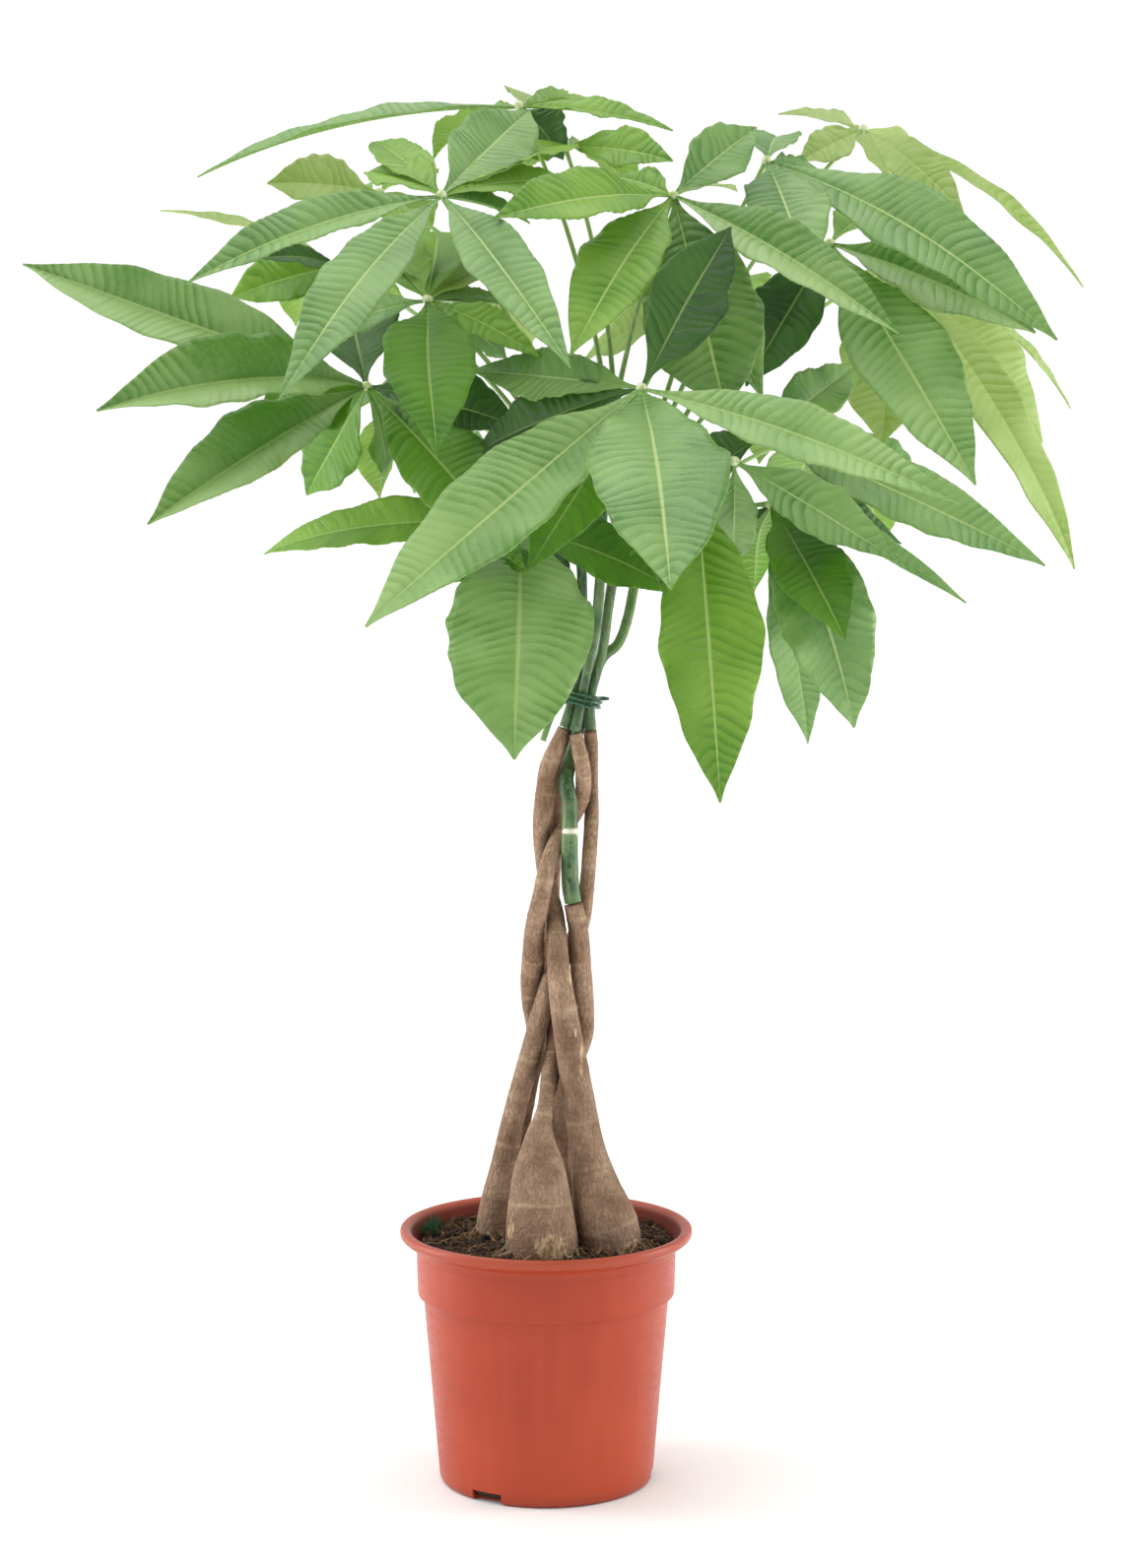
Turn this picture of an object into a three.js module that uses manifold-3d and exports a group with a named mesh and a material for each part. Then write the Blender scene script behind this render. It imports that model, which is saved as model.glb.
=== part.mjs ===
// Potted money tree (Pachira aquatica): five stems plaited into one trunk, in a plastic nursery pot.
// Units are millimetres, +Z is up, and the origin is the centre of the pot's flat underside.
import * as THREE from 'three';
import { mergeVertices } from 'three/addons/utils/BufferGeometryUtils.js';
import Module from 'manifold-3d';

const wasm = await Module();
wasm.setup();

// ---------------------------------------------------------------- driving dimensions
const GAP = 0.35; // clearance kept between pieces that touch on the real plant

const POT_HEIGHT = 167;
const RIM_RADIUS = 95;
const RIM_WIDTH = 5.5; // from the rim's edge to the start of the inner flare
const LIP_HEIGHT = 6;
const LIP_ROUND = 0.8;
const FLARE_DEPTH = 11; // the rim flares out over this height
const COLLAR_TOP_RADIUS = 84.6;
const COLLAR_FOOT_RADIUS = 83.6;
const COLLAR_HEIGHT = 43.5;
const BODY_TOP_RADIUS = 80;
const FOOT_RADIUS = 69.8;
const FOOT_ROUND = 4;
const STEP_HEIGHT = 1; // slope between the body and the collar
const WALL = 1.6;
const FLOOR_THICKNESS = 2;
const POT_SIDES = 36;
const NOTCH_WIDTH = 22;
const NOTCH_HEIGHT = 7.5;
const NOTCH_ANGLES = [-123, -3, 117];
const DRAIN_HOLE_RADIUS = 4;
const DRAIN_HOLE_RING = 42;
const DRAIN_HOLES = 6;
const DRAIN_HOLE_SIDES = 12;

const SOIL_TOP = 157;
const SOIL_CROWN = 3;
const SOIL_SLACK = 0.5; // more room at the wall, where the two lathes have different side counts
const SOIL_SIDES = 32;

const STEM_SIDES = 9;
const SHOOT_SIDES = 8;
const STUB_SIDES = 5;

const BLADE = 0.8; // thickness of a leaf blade
const RIB_DROP = 0.9; // how far the midrib stands below the blade
const PETIOLE_FOOT_RADIUS = 1.8;
const PETIOLE_TOP_RADIUS = 1.3;
const PETIOLE_SIDES = 5;
const PETIOLE_STEPS = 4;
const PETIOLE_RISE = 0.3; // a petiole first follows its shoot for this share of its length
const PETIOLE_LEAN = 0.22;
const HUB_RADIUS = 3.4;
const HUB_OVERLAP = 2.4; // a leaflet starts this far from the hub's centre, inside the hub

// Half-width of a leaflet at places along it, as a share of its greatest half-width.
const OUTLINE_LARGE = [[0, 0.05], [0.12, 0.2], [0.3, 0.76], [0.52, 1], [0.78, 0.66], [1, 0.03]];
const OUTLINE_SMALL = [[0, 0.05], [0.24, 0.62], [0.5, 1], [0.79, 0.62], [1, 0.03]];
const LARGE_WIDTH = 44; // leaflets from this width on take the finer outline
const LEAST_HALF_WIDTH = 0.8;
const FOLD = 0.2; // rise of the edges above the midrib, as a share of the half-width
const WAVE = 0.09; // waved edge, as a share of the half-width
const WAVE_TURNS = 2.2;
const WAVE_SHIFT = 1.7; // the wave starts this much further on in each next leaflet

// ---------------------------------------------------------------- places read from the photograph
// A place on the plant is written [u, v, y]: the pixel where it shows in the 1156 x 1592 photograph
// and its depth in millimetres, y, negative towards the viewer. The viewpoint turns it into x and z.
const PITCH = THREE.MathUtils.degToRad(5.84);
const VIEW = { x: 15.2, y: -2054, z: 666, focal: 3265, u: 578, v: 796 };

function place([u, v, y]) {
  const right = (u - VIEW.u) / VIEW.focal;
  const rise = (VIEW.v - v) / VIEW.focal;
  const forward = Math.cos(PITCH) + rise * Math.sin(PITCH);
  const upward = -Math.sin(PITCH) + rise * Math.cos(PITCH);
  const reach = (y - VIEW.y) / forward;
  return new THREE.Vector3(VIEW.x + reach * right, y, VIEW.z + reach * upward);
}

// Woody stems, foot to top: [u, v, y, radius]. The plait is read from the photograph, and the depths
// carry each stem in front of or behind its neighbours.
const STEMS = [
  [
    [497, 1330, 10, 4], [498, 1275, 8, 9.5], [500, 1240, 5, 10.2], [510, 1190, 4, 8.8],
    [520, 1140, 3, 7.5], [530, 1100, 1, 7], [541, 1060, -1, 6.7], [552, 1020, -2, 6.4], [564, 985, 1, 6.3],
    [579, 960, 7, 5.8], [590.5, 935, 7, 5.4], [595.5, 900, 5, 4.9], [598.5, 860, 5, 4.7],
    [600.5, 825, 9, 4.6], [600, 803, 11, 4.7], [600, 780, 8, 4.7], [600, 761, 4, 4.6], [599, 742, 1, 4.2],
  ],
  [
    [628, 1330, -14, 8], [624, 1285, -20, 17], [616, 1245, -23, 19.8], [606, 1207, -22, 15.6],
    [595, 1160, -19, 11.2], [586, 1110, -16, 10.2], [575, 1041, -14, 8.8], [567, 985, -14, 7.4],
    [565, 950, -12, 6.4], [562.5, 925, -1, 5.7], [555, 895, 2, 5.3], [550, 857, 4.6, 5.2],
    [550.5, 830, 2, 6.1], [554, 803, 0, 6.5], [557, 780, -1, 6.1], [564, 761, -2, 5.3],
    [573, 740, -2, 4.2],
  ],
  [
    [508, 1300, 48, 4], [511, 1255, 46, 9], [516, 1215, 42, 9.4], [523, 1160, 34, 8], [535, 1098, 22, 7.4],
    [545, 1052, 15, 7], [541, 1018, 12, 7.2], [540, 995, 9, 7.3], [541.5, 972, 0, 7.3],
    [542.5, 945, -10, 6.4], [546, 926, -13, 6.2], [549, 912, -13.5, 5.8], [556, 880, -11, 5.6],
    [565, 855, -2, 5.3], [575, 838, 4, 5.2], [585, 822, 4, 5.2], [591, 806, 2, 5.1], [592, 790, -3, 5.2],
    [591, 777, -5, 5], [588, 763, -6, 4.8], [584, 744.8, -6, 4.2],
  ],
  [
    [547, 1345, -34, 6], [548, 1300, -40, 19], [549, 1262, -43, 22.8], [549, 1223, -42, 20.6],
    [548, 1185, -39, 16.2], [548, 1152, -34, 9.4], [552, 1130, -28, 7.4], [557, 1102, -14, 7],
    [559.5, 1085, -5.5, 6.4], [563, 1060, 1, 5.7], [564, 1020, 10, 5.6], [560, 985, 18, 6],
    [558, 945, 20, 6.2], [560, 905, 18, 5], [562, 875, 16, 4.8], [563, 840, 16, 5], [564, 805, 16, 4.6],
    [566, 770, 15, 4.2], [575, 745.5, 12, 3.8],
  ],
  [
    [588, 1315, 40, 4], [585, 1268, 39, 8.8], [580, 1228, 36, 9.2], [573, 1170, 31, 8.6],
    [572, 1125, 24, 8], [577, 1090, 14, 6.8], [592.5, 1050, 4, 6.2], [592, 1018, 1, 6.5],
    [589.5, 985, -2, 6.6], [587, 945, -7, 6.4], [582, 918.2, -7, 6.1],
  ],
];

// Green shoots, from the top of each woody stem to the growing point: [u, v, y, radius].
const SHOOTS = [
  [
    [599, 740, 1, 3.8], [599, 710, -2, 3.2], [611, 662, -2, 3.2], [617, 620, -4, 3.2], [621, 592, -5, 3.4],
    [631, 520, -14, 3.2], [640, 470, -34, 3],
  ],
  [
    [573.6, 738, -2, 3.8], [581, 710, -2, 3.2], [590, 660, -6, 3.2], [591, 600, -12, 3.2],
    [588, 540, -18, 3.2], [578, 478, -24, 3],
  ],
  [
    [583.7, 742, -6, 3.8], [590, 710, -6, 3.2], [600, 662, -9, 3.2], [604, 640, -12, 3.2],
    [609, 590, -20, 3.2], [608, 530, -30, 3], [604, 500, -36, 3],
  ],
  [
    [576, 743.5, 11.6, 3.6], [584, 710, 5, 3.2], [600, 660, 9, 3.2], [608, 600, 16, 3.2],
    [612, 520, 16, 3.2], [620, 450, 12, 3.1], [626, 404, 8, 2.9],
  ],
  [
    [581.5, 916, -6.8, 5.4], [579, 900, -7.2, 5.6], [578, 870, -10.2, 5.3], [578.5, 842, -12, 5.1],
    [578, 815, -9.5, 5], [574.5, 791, -3, 4.9], [577.5, 777, 4, 4.7], [581.5, 762, 8, 4.4],
    [588, 738, 6, 3.7], [596, 710, 5, 3.2], [612, 668, 6, 3.2], [627, 654, 8, 3.2], [636, 632, 11, 3.2],
    [643, 598, 16, 3.2], [652, 540, 24, 3.2], [655, 480, 30, 3],
  ],
];

// A cut-off leaf stalk that still hangs from the second shoot, and the tie round the five shoots.
const STUB_SHOOT = 1;
const STUB = [[578, 722, -2.5, 1.9], [566, 716, -7, 1.7], [556, 732, -9, 1.5], [548, 756, -10, 1.2]];
const TIE_CENTRE = [591, 709, -0.6];
const TIE_ABOVE = [597, 688, -0.6];
const TIE_RADIUS = 12.2;
const TIE_WIRE = 1.3;
const TIE_SIDES = 5;
const TIE_TURNS = 2.3;
const TIE_PITCH = 3.1;
const TIE_STEPS = 34;
const TIE_START = 3.9; // angle where the wire's lower end leaves the ring
const TIE_TAIL = 9;

// Palmate leaves. Each has the shoot that it grows from, how far along the shoot it leaves it (0 foot
// to 1 top), its hub, and its leaflets as [tip, width, facing, arch]. Facing turns the upper face from
// straight up (0) to the viewer (1), or away from the viewer when negative.
const FRONDS = {
  leaf_a: {
    shoot: 0, along: 0.97, hub: [651, 394, -170],
    leaflets: [
      [[681, 598, -330], 74, 0.5, 0.08], [[371, 636, -290], 58, 0.6, 0.03],
      [[479, 377, -80], 34, 0.7, 0.03], [[742, 230, -125], 46, 0.95, 0.01],
      [[975, 511, -250], 38, 0.6, 0.04],
    ],
  },
  leaf_b: {
    shoot: 1, along: 0.98, hub: [448, 198, -120],
    leaflets: [
      [[190, 287, -180], 36, 0.5, 0.06], [[283, 405, -270], 42, 0.6, 0.05],
      [[579, 373, -250], 38, 0.6, 0.05], [[538, 112, 20], 48, 0.85, 0.02], [[377, 144, 20], 32, 0.5, 0.04],
      [[582, 189, 0], 43, 0.55, 0.05],
    ],
  },
  leaf_c: {
    shoot: 3, along: 0.99, hub: [683, 198, -60],
    leaflets: [
      [[500, 222, -170], 46, 0.55, 0.04], [[585, 362, -180], 36, 0.6, 0.04],
      [[624, 179, -30], 26, 0.5, 0.04], [[768, 129, -10], 36, 0.8, 0.03], [[748, 193, 60], 22, 0.4, 0.04],
      [[912, 338, -160], 40, 0.6, 0.04], [[736, 416, -100], 74, 0.75, 0.03],
      [[774, 405, -50], 40, 0.7, 0.04],
    ],
  },
  leaf_d: {
    shoot: 1, along: 0.9, hub: [434, 304, -90],
    leaflets: [
      [[443, 461, -220], 54, 0.55, 0.06], [[548, 362, -120], 26, 0.5, 0.04],
      [[535, 318, 20], 28, 0.5, 0.04], [[300, 352, -80], 34, 0.5, 0.06], [[445, 235, 30], 50, 0.8, 0.03],
      [[515, 365, -60], 28, 0.6, 0.04],
    ],
  },
  leaf_e: {
    shoot: 1, along: 0.78, hub: [372, 392, -40],
    leaflets: [
      [[23, 268, 20], 46, 0.7, 0.01], [[98, 417, -140], 50, 0.65, 0.12],
      [[150, 532, -150], 48, 0.65, 0.03], [[311, 503, 20], 43, 0.7, 0.03],
      [[533, 578, -150], 52, 0.6, 0.04], [[392, 480, 10], 54, 0.5, 0.04], [[352, 285, 60], 60, 0.8, 0.02],
      [[262, 430, -60], 58, 0.6, 0.03], [[525, 432, -70], 50, 0.6, 0.04],
    ],
  },
  leaf_f: {
    shoot: 4, along: 0.98, hub: [876, 131, 150],
    leaflets: [
      [[790, 115, 200], 24, 0.3, 0.04], [[811, 164, 130], 30, 0.6, 0.03], [[979, 219, 90], 34, 0.6, 0.06],
      [[1100, 291, 180], 26, 0.35, 0.08], [[905, 190, 300], 43, 0.3, 0.08],
    ],
  },
  leaf_g: {
    shoot: 4, along: 0.996, hub: [778, 163, 20],
    leaflets: [
      [[820, 277, -90], 50, 0.7, 0.04], [[1073, 345, -80], 52, 0.6, 0.08],
      [[791, 140, 130], 36, 0.4, 0.05], [[850, 190, 70], 34, 0.4, 0.05],
    ],
  },
  leaf_h: {
    shoot: 4, along: 0.963, hub: [842, 247, 20],
    leaflets: [
      [[1051, 338, -40], 52, 0.6, 0.05], [[990, 492, -90], 60, 0.7, 0.04], [[757, 392, 0], 46, 0.6, 0.04],
      [[907, 215, 150], 34, 0.3, 0.05],
    ],
  },
  leaf_r: {
    shoot: 4, along: 0.946, hub: [905, 270, 170],
    leaflets: [
      [[1058, 450, 220], 52, 0.6, 0.06], [[1091, 578, 150], 40, 0.5, 0.1],
      [[1087, 414, 260], 32, 0.4, 0.08], [[895, 452, 160], 66, 0.6, 0.04],
      [[890, 340, 310], 50, 0.4, 0.08],
    ],
  },
  leaf_k: {
    shoot: 4, along: 0.927, hub: [775, 443, -60],
    leaflets: [
      [[1061, 574, -120], 42, 0.65, 0.05], [[868, 372, 40], 34, 0.8, 0.03],
      [[735, 470, 20], 30, 0.6, 0.04], [[845, 480, 70], 40, 0.4, 0.05],
    ],
  },
  leaf_j: {
    shoot: 0, along: 0.9, hub: [745, 468, -100],
    leaflets: [
      [[910, 569, -125], 38, 0.65, 0.02], [[981, 612, -80], 18, 0.6, 0.03],
      [[742, 575, -20], 30, 0.6, 0.05],
    ],
  },
  leaf_p: {
    shoot: 4, along: 0.906, hub: [782, 512, -40],
    leaflets: [
      [[858, 650, -130], 46, 0.6, 0.05], [[867, 739, -70], 62, 0.65, 0.19],
      [[820, 755, 30], 34, 0.65, 0.08], [[838, 664, -20], 43, 0.6, 0.04], [[765, 600, 90], 38, 0.5, 0.06],
    ],
  },
  leaf_m: {
    shoot: 0, along: 0.8, hub: [705, 478, -80],
    leaflets: [
      [[731, 815, -140], 66, 0.6, 0.06], [[672, 600, -170], 44, 0.6, 0.05],
      [[640, 562, -115], 42, 0.6, 0.04],
    ],
  },
  leaf_n: {
    shoot: 1, along: 0.5, hub: [530, 535, -60],
    leaflets: [
      [[522, 771, -190], 84, 0.5, 0.12], [[604, 500, -115], 40, 0.7, 0.03],
      [[470, 470, 60], 36, 0.6, 0.04], [[268, 562, -20], 34, 0.6, 0.12], [[688, 600, -40], 43, 0.6, 0.05],
      [[448, 592, -130], 58, 0.6, 0.04],
    ],
  },
  leaf_t: {
    shoot: 3, along: 0.82, hub: [527, 107, 40],
    leaflets: [
      [[200, 179, 60], 30, 0.25, 0.06], [[619, 110, 120], 30, 0.3, 0.06], [[560, 130, 200], 40, 0.3, 0.08],
      [[440, 160, 170], 36, 0.3, 0.06], [[683, 132, 30], 26, 0.35, 0.04],
    ],
  },
  leaf_s: {
    shoot: 3, along: 0.93, hub: [573, 148, 80],
    leaflets: [
      [[683, 163, 60], 40, 0.5, 0.04], [[640, 200, 210], 43, 0.4, 0.08], [[520, 190, 220], 44, 0.4, 0.08],
      [[510, 165, 60], 30, 0.5, 0.04],
    ],
  },
  leaf_u: {
    shoot: 3, along: 0.78, hub: [385, 195, 120],
    leaflets: [
      [[271, 186, 100], 42, 0.65, 0.06], [[320, 240, 230], 46, 0.4, 0.08],
      [[420, 260, 260], 46, 0.4, 0.08], [[440, 175, 220], 36, 0.4, 0.05],
    ],
  },
  leaf_v: {
    shoot: 1, along: 0.86, hub: [345, 270, 140],
    leaflets: [
      [[233, 303, 120], 42, 0.65, 0.06], [[163, 213, 200], 22, 0.2, 0.05], [[262, 262, 60], 34, 0.6, 0.04],
      [[300, 330, 260], 48, 0.4, 0.08], [[390, 340, 250], 46, 0.4, 0.08],
    ],
  },
  leaf_w: {
    shoot: 2, along: 0.95, hub: [505, 450, 110],
    leaflets: [
      [[420, 500, 190], 46, 0.4, 0.08], [[465, 575, 260], 48, 0.4, 0.1], [[550, 575, 270], 48, 0.4, 0.1],
      [[590, 490, 230], 43, 0.4, 0.08],
    ],
  },
  leaf_x: {
    shoot: 4, along: 0.885, hub: [835, 440, 190],
    leaflets: [
      [[950, 520, 240], 50, 0.4, 0.08], [[890, 560, 300], 50, 0.4, 0.1], [[800, 545, 310], 48, 0.4, 0.1],
      [[770, 470, 280], 43, 0.4, 0.08],
    ],
  },
  leaf_y: {
    shoot: 3, along: 0.7, hub: [720, 300, 190],
    leaflets: [
      [[760, 390, 300], 50, 0.4, 0.1], [[700, 385, 330], 46, 0.4, 0.1], [[760, 300, 330], 48, 0.4, 0.08],
      [[700, 250, 320], 43, 0.4, 0.08],
    ],
  },
  leaf_z: {
    shoot: 1, along: 0.7, hub: [430, 400, 150],
    leaflets: [
      [[330, 430, 230], 43, 0.4, 0.08], [[385, 505, 250], 46, 0.4, 0.1], [[455, 500, 290], 46, 0.4, 0.1],
      [[500, 420, 260], 43, 0.4, 0.08],
    ],
  },
};

// ---------------------------------------------------------------- helpers
function solid(geometry) {
  const bare = geometry.index ? geometry.clone() : geometry;
  bare.deleteAttribute('normal');
  bare.deleteAttribute('uv');
  const merged = mergeVertices(bare, 1e-4);
  const mesh = new wasm.Mesh({
    numProp: 3,
    vertProperties: new Float32Array(merged.attributes.position.array),
    triVerts: new Uint32Array(merged.index.array),
  });
  return new wasm.Manifold(mesh);
}

function piece(name, body, material) {
  const mesh = body.getMesh();
  const geometry = new THREE.BufferGeometry();
  geometry.setAttribute('position', new THREE.BufferAttribute(mesh.vertProperties.slice(), 3));
  geometry.setIndex(new THREE.BufferAttribute(mesh.triVerts.slice(), 1));
  geometry.computeVertexNormals();
  const result = new THREE.Mesh(geometry, material);
  result.name = name;
  return result;
}

// The largest body of a join: sealed hollows are filled and loose scraps dropped.
function outerBody(joined) {
  return joined.decompose().reduce((best, next) => (next.volume() > best.volume() ? next : best));
}

// Closed skin over rings of equal point counts, with flat caps.
function skin(rings) {
  const count = rings[0].length;
  const positions = rings.flat().flatMap((point) => [point.x, point.y, point.z]);
  const faces = [];
  for (let row = 0; row + 1 < rings.length; row += 1) {
    for (let column = 0; column < count; column += 1) {
      const next = (column + 1) % count;
      const a = row * count + column;
      const b = row * count + next;
      const c = (row + 1) * count + next;
      const d = (row + 1) * count + column;
      faces.push(a, b, c, a, c, d);
    }
  }
  const last = (rings.length - 1) * count;
  for (let column = 1; column + 1 < count; column += 1) {
    faces.push(0, column + 1, column);
    faces.push(last, last + column, last + column + 1);
  }
  const geometry = new THREE.BufferGeometry();
  geometry.setAttribute('position', new THREE.Float32BufferAttribute(positions, 3));
  geometry.setIndex(faces);
  return solid(geometry);
}

// Round tube through points, with a radius at each of them.
function tube(points, radii, sides, steps) {
  const curve = new THREE.CatmullRomCurve3(points, false, 'centripetal');
  const rings = [];
  let side = new THREE.Vector3(1, 0, 0);
  for (let step = 0; step <= steps; step += 1) {
    const t = step / steps;
    const centre = curve.getPoint(t);
    const tangent = curve.getTangent(t);
    side = side.addScaledVector(tangent, -side.dot(tangent)).normalize().clone();
    const other = new THREE.Vector3().crossVectors(tangent, side);
    const along = t * (radii.length - 1);
    const index = Math.min(Math.floor(along), radii.length - 2);
    const radius = THREE.MathUtils.lerp(radii[index], radii[index + 1], along - index);
    const ring = [];
    for (let k = 0; k < sides; k += 1) {
      const angle = (2 * Math.PI * k) / sides;
      ring.push(
        centre.clone()
          .addScaledVector(side, radius * Math.cos(angle))
          .addScaledVector(other, radius * Math.sin(angle)),
      );
    }
    rings.push(ring);
  }
  return skin(rings);
}

// Flat-capped lathe solid from [radius, z] pairs that start and end on the axis.
function lathe(outline, sides) {
  const points = outline.map(([radius, z]) => new THREE.Vector2(radius, z));
  const geometry = new THREE.LatheGeometry(points, sides);
  geometry.rotateX(Math.PI / 2);
  return solid(geometry);
}

// ---------------------------------------------------------------- pot
function potBody() {
  const floorRadius = FOOT_RADIUS - FOOT_ROUND;
  const collarFoot = POT_HEIGHT - COLLAR_HEIGHT;
  const lipFoot = POT_HEIGHT - LIP_HEIGHT;
  const outside = [
    [0, 0],
    [floorRadius, 0],
    [FOOT_RADIUS - FOOT_ROUND * 0.3, FOOT_ROUND * 0.3],
    [FOOT_RADIUS, FOOT_ROUND],
    [BODY_TOP_RADIUS, collarFoot - STEP_HEIGHT],
    [COLLAR_FOOT_RADIUS, collarFoot],
    [COLLAR_TOP_RADIUS, POT_HEIGHT - FLARE_DEPTH],
    [RIM_RADIUS - RIM_WIDTH * 0.65, lipFoot - LIP_ROUND],
    [RIM_RADIUS - LIP_ROUND, lipFoot],
    [RIM_RADIUS, POT_HEIGHT - LIP_HEIGHT / 2],
    [RIM_RADIUS - LIP_ROUND, POT_HEIGHT - LIP_ROUND],
    [RIM_RADIUS - RIM_WIDTH * 0.55, POT_HEIGHT],
  ];
  const inside = [
    [RIM_RADIUS - RIM_WIDTH, POT_HEIGHT - LIP_ROUND],
    [COLLAR_TOP_RADIUS + STEP_HEIGHT, POT_HEIGHT - FLARE_DEPTH * 0.65],
    [COLLAR_TOP_RADIUS - WALL, POT_HEIGHT - FLARE_DEPTH],
    [COLLAR_FOOT_RADIUS - WALL, collarFoot + WALL],
    [BODY_TOP_RADIUS - WALL, collarFoot],
    [FOOT_RADIUS - WALL, FOOT_ROUND + STEP_HEIGHT],
    [floorRadius - STEP_HEIGHT, FLOOR_THICKNESS],
    [0, FLOOR_THICKNESS],
  ];
  let pot = lathe([...outside, ...inside], POT_SIDES);
  for (const angle of NOTCH_ANGLES) {
    const notch = new THREE.BoxGeometry(FOOT_ROUND * 4, NOTCH_WIDTH, NOTCH_HEIGHT * 2);
    notch.translate(FOOT_RADIUS, 0, 0);
    notch.rotateZ(THREE.MathUtils.degToRad(angle));
    pot = pot.subtract(solid(notch));
  }
  for (let hole = 0; hole < DRAIN_HOLES; hole += 1) {
    const drain = new THREE.CylinderGeometry(
      DRAIN_HOLE_RADIUS, DRAIN_HOLE_RADIUS, FLOOR_THICKNESS * 3, DRAIN_HOLE_SIDES,
    );
    drain.rotateX(Math.PI / 2);
    drain.translate(DRAIN_HOLE_RING, 0, 0);
    drain.rotateZ((2 * Math.PI * hole) / DRAIN_HOLES);
    pot = pot.subtract(solid(drain));
  }
  return pot;
}

// ---------------------------------------------------------------- soil
function soilBody(stemHoles) {
  const floor = FLOOR_THICKNESS + GAP;
  const inset = WALL + GAP + SOIL_SLACK;
  const edge = COLLAR_TOP_RADIUS - inset;
  const outline = [
    [0, floor],
    [FOOT_RADIUS - FOOT_ROUND - WALL, floor],
    [FOOT_RADIUS - inset, FOOT_ROUND + WALL],
    [BODY_TOP_RADIUS - inset, POT_HEIGHT - COLLAR_HEIGHT],
    [COLLAR_FOOT_RADIUS - inset, POT_HEIGHT - COLLAR_HEIGHT + WALL + SOIL_SLACK],
    [edge, SOIL_TOP - SOIL_CROWN],
    [edge * 0.975, SOIL_TOP - SOIL_CROWN / 3],
    [edge * 0.75, SOIL_TOP],
    [edge * 0.45, SOIL_TOP + SOIL_CROWN / 2],
    [0, SOIL_TOP + SOIL_CROWN],
  ];
  let soil = lathe(outline, SOIL_SIDES);
  for (const hole of stemHoles) {
    soil = soil.subtract(hole);
  }
  return soil;
}

// ---------------------------------------------------------------- stems and shoots
function limb(rows, sides, extra) {
  const points = rows.map(([u, v, y]) => place([u, v, y]));
  const radii = rows.map((row) => row[3] + extra);
  if (extra > 0) {
    const last = points.length - 1;
    points[0].addScaledVector(points[0].clone().sub(points[1]).normalize(), extra);
    points[last].addScaledVector(points[last].clone().sub(points[last - 1]).normalize(), extra);
  }
  return tube(points, radii, sides, rows.length - 1);
}

// ---------------------------------------------------------------- palmate leaves
function leaflet(hub, tip, width, facing, arch, phase) {
  const along = tip.clone().sub(hub).normalize();
  const root = hub.clone().addScaledVector(along, HUB_OVERLAP);
  const span = tip.clone().sub(root);
  const length = span.length();
  const up = new THREE.Vector3(0, -facing, 1 - Math.abs(facing));
  up.addScaledVector(along, -up.dot(along)).normalize();
  const middle = root.clone().addScaledVector(span, 0.5).addScaledVector(up, 2 * arch * length);
  const midrib = new THREE.QuadraticBezierCurve3(root, middle, tip);
  const outline = width < LARGE_WIDTH ? OUTLINE_SMALL : OUTLINE_LARGE;
  const rings = outline.map(([t, share]) => {
    const centre = midrib.getPoint(t);
    const tangent = midrib.getTangent(t);
    const side = new THREE.Vector3().crossVectors(tangent, up).normalize();
    const normal = new THREE.Vector3().crossVectors(side, tangent).normalize();
    const half = Math.max((width / 2) * share, LEAST_HALF_WIDTH);
    const swing = WAVE * half * Math.sin(2 * Math.PI * WAVE_TURNS * t + phase);
    const left = centre.clone().addScaledVector(side, -half).addScaledVector(normal, FOLD * half + swing);
    const right = centre.clone().addScaledVector(side, half).addScaledVector(normal, FOLD * half - swing);
    const top = (point) => point.clone().addScaledVector(normal, BLADE / 2);
    const under = (point, drop) => point.clone().addScaledVector(normal, -BLADE / 2 - drop);
    return [top(left), under(left, 0), under(centre, RIB_DROP), under(right, 0), top(right), top(centre)];
  });
  return leafSkin(rings);
}

// Skin over leaflet sections whose upper and lower faces are split into triangles alike.
function leafSkin(rings) {
  const positions = rings.flat().flatMap((point) => [point.x, point.y, point.z]);
  const faces = [];
  const quads = [[5, 0, false], [4, 5, false], [3, 4, false], [0, 1, false], [1, 2, true], [2, 3, true]];
  for (let row = 0; row + 1 < rings.length; row += 1) {
    for (const [from, to, under] of quads) {
      const a = row * 6 + from;
      const b = row * 6 + to;
      const c = (row + 1) * 6 + to;
      const d = (row + 1) * 6 + from;
      if (under) {
        faces.push(a, d, b, b, d, c);
      } else {
        faces.push(a, c, b, a, d, c);
      }
    }
  }
  const last = (rings.length - 1) * 6;
  const cap = [0, 1, 2, 0, 2, 5, 5, 2, 3, 5, 3, 4];
  faces.push(...cap, ...cap.map((corner) => last + corner).reverse());
  const geometry = new THREE.BufferGeometry();
  geometry.setAttribute('position', new THREE.Float32BufferAttribute(positions, 3));
  geometry.setIndex(faces);
  return solid(geometry);
}

function shootCurve(index) {
  return new THREE.CatmullRomCurve3(SHOOTS[index].map((row) => place(row)), false, 'centripetal');
}

function petiole(frond) {
  const shoot = shootCurve(frond.shoot);
  const start = shoot.getPoint(frond.along);
  const heading = shoot.getTangent(frond.along);
  const hub = place(frond.hub);
  const reach = hub.distanceTo(start);
  const bend = start.clone().addScaledVector(heading, reach * PETIOLE_RISE).lerp(hub, PETIOLE_LEAN);
  const curve = new THREE.QuadraticBezierCurve3(start, bend, hub);
  const points = curve.getPoints(PETIOLE_STEPS);
  const radii = points.map((_, index) =>
    THREE.MathUtils.lerp(PETIOLE_FOOT_RADIUS, PETIOLE_TOP_RADIUS, index / PETIOLE_STEPS));
  return tube(points, radii, PETIOLE_SIDES, PETIOLE_STEPS);
}

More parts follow.
